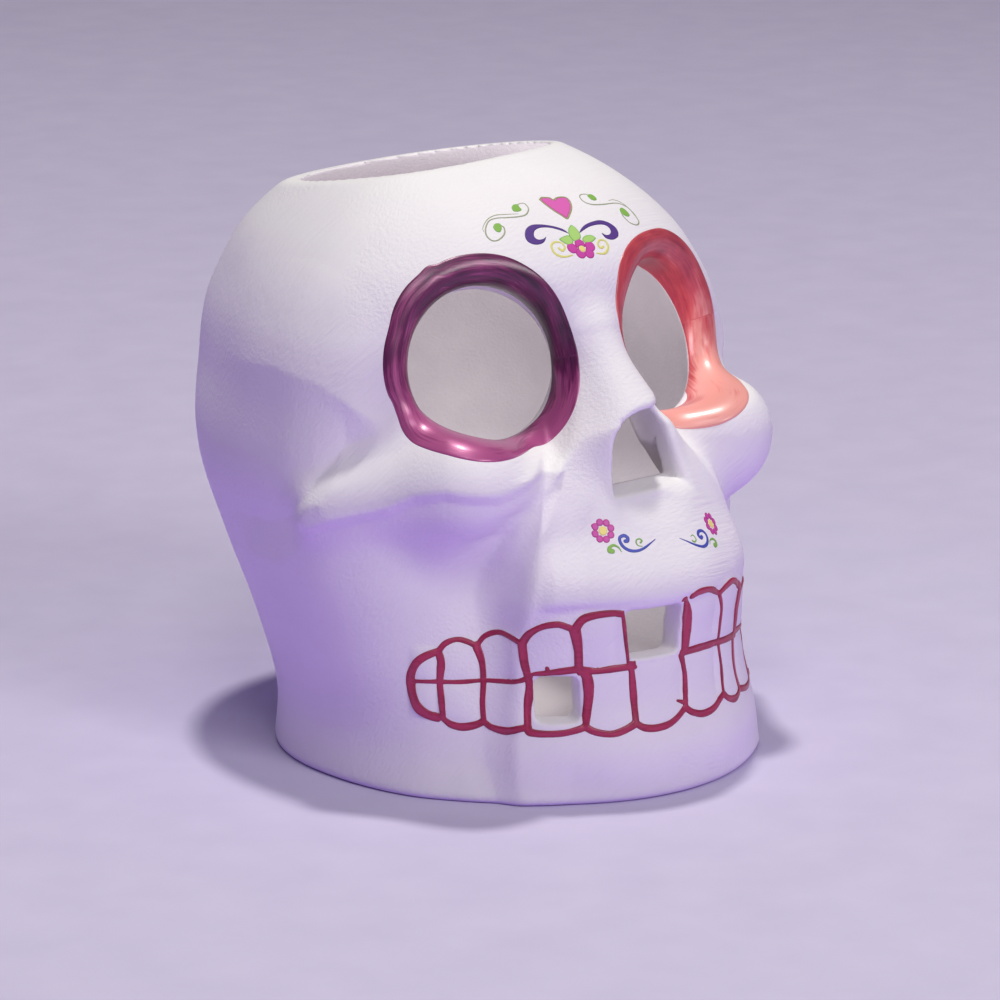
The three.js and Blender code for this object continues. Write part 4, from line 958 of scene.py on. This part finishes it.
SCROLLS = {
    "left": [(1.4, -0.9), (2.5, 0.2), (4.4, 1.3), (6.8, 2), (9.2, 2.3), (11.1, 1.8), (12.5, 0.7),
        (13, -0.8), (12.2, -2.4), (10.3, -3.2), (8.8, -3), (8, -2.4), (7.8, -1.2), (8.7, -1.8), (9.9, -1.7),
        (10.7, -0.9), (10.7, 0.1), (9.7, 0.9), (7.6, 1), (5.2, 0.6), (3.1, -0.2)],
    "right": [(-1.1, -0.8), (-2.1, 0.7), (-4.2, 1.9), (-6.9, 2.8), (-9.4, 3.1), (-11.4, 2.3), (-12.6, 0.6),
        (-12.7, -1), (-11.7, -2), (-10.1, -2.3), (-8.6, -1.8), (-7.5, -0.6), (-8.5, -1), (-9.8, -1),
        (-10.4, -0.2), (-9.9, 1), (-8.9, 1.7), (-7.3, 1.9), (-5.2, 1.5), (-3.1, 0.5)],
}
CURLS = {
    "left": [(3.7, -6.3), (6.1, -6.5), (7.8, -4.9), (7.6, -3.4), (6.2, -3.1), (5.1, -4.1), (5.5, -5.1),
        (6.4, -4.8)],
    "right": [(-3, -6.1), (-5.6, -6.2), (-7.4, -5.1), (-7.4, -3.1), (-6, -2.3), (-4.4, -2.8), (-4.2, -4),
        (-5.2, -4.7), (-5.8, -4)],
}
for word in ("left", "right"):
    scroll, curl = shape(SCROLLS[word]), brush((CURLS[word], CURL))
    transfer(f"{word}_vine_print", brow, VINES[word], STEM, f"{word}_vine_decal")
    transfer(f"{word}_violet_scroll_print", brow, scroll, VIOLET, f"{word}_violet_scroll")
    transfer(f"{word}_yellow_curl_print", brow, curl, YELLOW, f"{word}_yellow_curl")
for node, outline in BUDS.items():
    transfer(f"{node}_print", brow, shape(outline), GREEN, node)
LEAVES = [
    [(0.6, 1.7), (-0.7, 0.7), (-1.4, -0.6), (-1.4, -1.9), (-0.7, -2.8), (1, -2.3), (1.7, -1.1), (1.5, 0.4),
     (1.1, 1.2)],
    [(-4.7, -1.7), (-3.3, -1.2), (-1.7, -1), (-1.3, -1.7), (-1.2, -2.9), (-2.6, -3.6), (-3.9, -2.8)],
    [(5.5, -2.5), (4.8, -1.7), (3.4, -1.5), (1.9, -2), (1.4, -2.9), (2.2, -3.6), (3.9, -3.4)],
]
for i, outline in enumerate(LEAVES, 1):
    transfer(f"brow_leaf_print_{i}", brow, shape(outline), PALE_GREEN, f"brow_leaf_{i}")
PETALS, PETAL_SIZE = [(0.2, -3.6), (-2.3, -4.4), (-0.6, -5.9), (1.7, -6.1), (2.7, -4.4)], 1.35
FLOWER_EYE, FLOWER_EYE_SIZE, FLOWER_HOLE = (0.3, -4.85), 0.8, 0.85
transfer("brow_flower_print", brow, rounds(PETALS, PETAL_SIZE, (*FLOWER_EYE, FLOWER_HOLE)), MAGENTA,
         "brow_flower_petals")
transfer("brow_flower_eye_print", brow, rounds([FLOWER_EYE], FLOWER_EYE_SIZE), CREAM, "brow_flower_centre")

# The lip's drawings, on one flat frame on each side
LIP_PETAL_SIZE, LIP_EYE_SIZE = 0.82, 1
LIP_FLOWER = {"left": (6.3, -0.9), "right": (-5.3, 3)}
LIP_SCROLL = {
    "left": [(-7.4, -1.2), (-5.9, -2.4), (-4, -3.9), (-1.9, -4.9), (0, -4.8), (1.4, -3.9), (1.8, -2.6),
        (1, -1.6), (-0.4, -1.5), (-1.2, -2.2), (-0.8, -3), (-0.2, -2.8)],
    "right": [(6.5, -0.3), (4.9, -1.2), (3, -2.2), (1.3, -2.6), (-0.3, -2.3), (-1.5, -1.3), (-2, 0),
        (-1.8, 1), (-0.8, 1.3), (-0.1, 0.7), (-0.3, 0), (-0.8, 0)],
}
LIP_SCROLL_WIDTHS = (0.15, 0.6, 0.8, 0.75, 0.9)
LIP_CURL = {
    ("left", "outer"): [(1.5, -5), (2.3, -4.2), (3.8, -4.1), (4.6, -4.8), (4.3, -5.5), (3.4, -5.6)],
    ("left", "inner"): [(-3.9, -1.9), (-3.1, -1.7), (-2.7, -2.3), (-2.8, -3), (-3.6, -3.3), (-4.1, -2.9)],
    ("right", "outer"): [(-2.3, -2.3), (-2.7, -1.2), (-3.7, -0.5), (-4.7, -0.9), (-4.9, -1.6),
                         (-4.3, -1.8)],
    ("right", "inner"): [(2.8, -1.7), (2, -1.5), (1.6, -0.9), (1.8, -0.1), (2.6, 0.1), (3, -0.4),
                         (2.6, -0.8)],
}
LIP_CURL_WIDTHS = {"outer": (0.2, 0.5, 0.8, 1.2), "inner": (0.2, 0.35, 0.35, 0.5)}
for word, side in (("left", 1), ("right", -1)):
    lip = transfer_chart(x=9.8, z=56.8, turn=0, side=side)
    x, y = LIP_FLOWER[word]
    flower = rounds(about(x, y, count=8, reach=1.95, turn=10), LIP_PETAL_SIZE, (x, y, LIP_EYE_SIZE))
    scroll = brush((LIP_SCROLL[word], LIP_SCROLL_WIDTHS))
    transfer(f"{word}_lip_flower_print", lip, flower, MAGENTA, f"{word}_lip_flower_petals")
    transfer(f"{word}_lip_flower_eye_print", lip, rounds([(x, y)], LIP_EYE_SIZE), CREAM,
             f"{word}_lip_flower_centre")
    transfer(f"{word}_lip_scroll_print", lip, scroll, BLUE, f"{word}_lip_blue_scroll")
    for kind, widths in LIP_CURL_WIDTHS.items():
        curl = brush((LIP_CURL[word, kind], widths))
        transfer(f"{word}_lip_{kind}_curl_print", lip, curl, GREEN, f"{word}_lip_{kind}_curl")

# Floor: a pale paper whose bounced light is lavender. From here on lengths are in metres.
floor_mesh = bpy.data.meshes.new("floor")
floor_mesh.from_pydata([(-5, -5, 0), (5, -5, 0), (5, 5, 0), (-5, 5, 0)], [], [(0, 1, 2, 3)])
floor = link("floor", floor_mesh)
t = Tree("floor_paper")
place = t.add("ShaderNodeTexCoord").outputs["Object"]
paper = t.ramp(t.noise(place, 60.0, 3.0), [(0.3, srgb(204, 197, 224)), (0.7, srgb(209, 202, 228))])
path = t.add("ShaderNodeLightPath").outputs
seen = t.maths("MAXIMUM", path["Is Glossy Ray"], path["Is Transmission Ray"])
seen = t.maths("MAXIMUM", path["Is Camera Ray"], seen)
tone = t.mix(seen, (*srgb(196, 160, 255), 1), paper)
floor_mesh.materials.append(t.finish(Base_Color=tone, Roughness=0.9, Specular_IOR_Level=0.1))

# Light
world = bpy.data.worlds.new("studio")
world.use_nodes = True
background = world.node_tree.nodes["Background"]
background.inputs["Color"].default_value = (0.84, 0.80, 1.0, 1)
background.inputs["Strength"].default_value = 0.15
bpy.context.scene.world = world
MIDDLE = (0, 0, 0.06)


def lamp(name, direction, distance, size, watts, colour, target=MIDDLE):
    """A round lamp at a distance from its target, which it looks at."""
    data = bpy.data.lights.new(name, "AREA")
    data.shape = "DISK"
    data.size = size
    data.energy = watts
    data.color = colour
    thing = link(name, data)
    toward = Vector(direction).normalized()
    thing.location = Vector(target) + toward * distance
    thing.rotation_euler = toward.to_track_quat("Z", "Y").to_euler()


lamp("key", (0.08, 0.14, 1.0), 1.6, size=0.14, watts=14, colour=(1, 0.975, 0.915))
lamp("front", (0, -0.85, 0.55), 1.6, size=0.6, watts=8.2, colour=(1, 0.975, 0.93))
lamp("high_left", (-0.36, -0.42, 0.83), 1.6, size=0.5, watts=4, colour=(1, 0.98, 0.96))
lamp("inside", (-0.42, -0.8, 0.3), 0.085, size=0.03, watts=0.034, colour=(1, 0.95, 0.97),
     target=(0.03, 0.05, 0.078))

# Camera
AZIMUTH, ELEVATION, DISTANCE, LOOK_AT = math.radians(-40), math.radians(14.6), 1.25, (0, -0.0025, 0.062)
flat = math.cos(ELEVATION)
back = Vector((math.sin(AZIMUTH) * flat, -math.cos(AZIMUTH) * flat, math.sin(ELEVATION)))
camera_data = bpy.data.cameras.new("camera")
camera_data.lens = 200.25
camera_data.shift_x = 0.007
camera_data.shift_y = -0.0413
camera = link("camera", camera_data)
camera.location = Vector(LOOK_AT) + back * DISTANCE
camera.rotation_euler = back.to_track_quat("Z", "Y").to_euler()
bpy.context.scene.camera = camera
bpy.context.scene.view_settings.view_transform = "Standard"
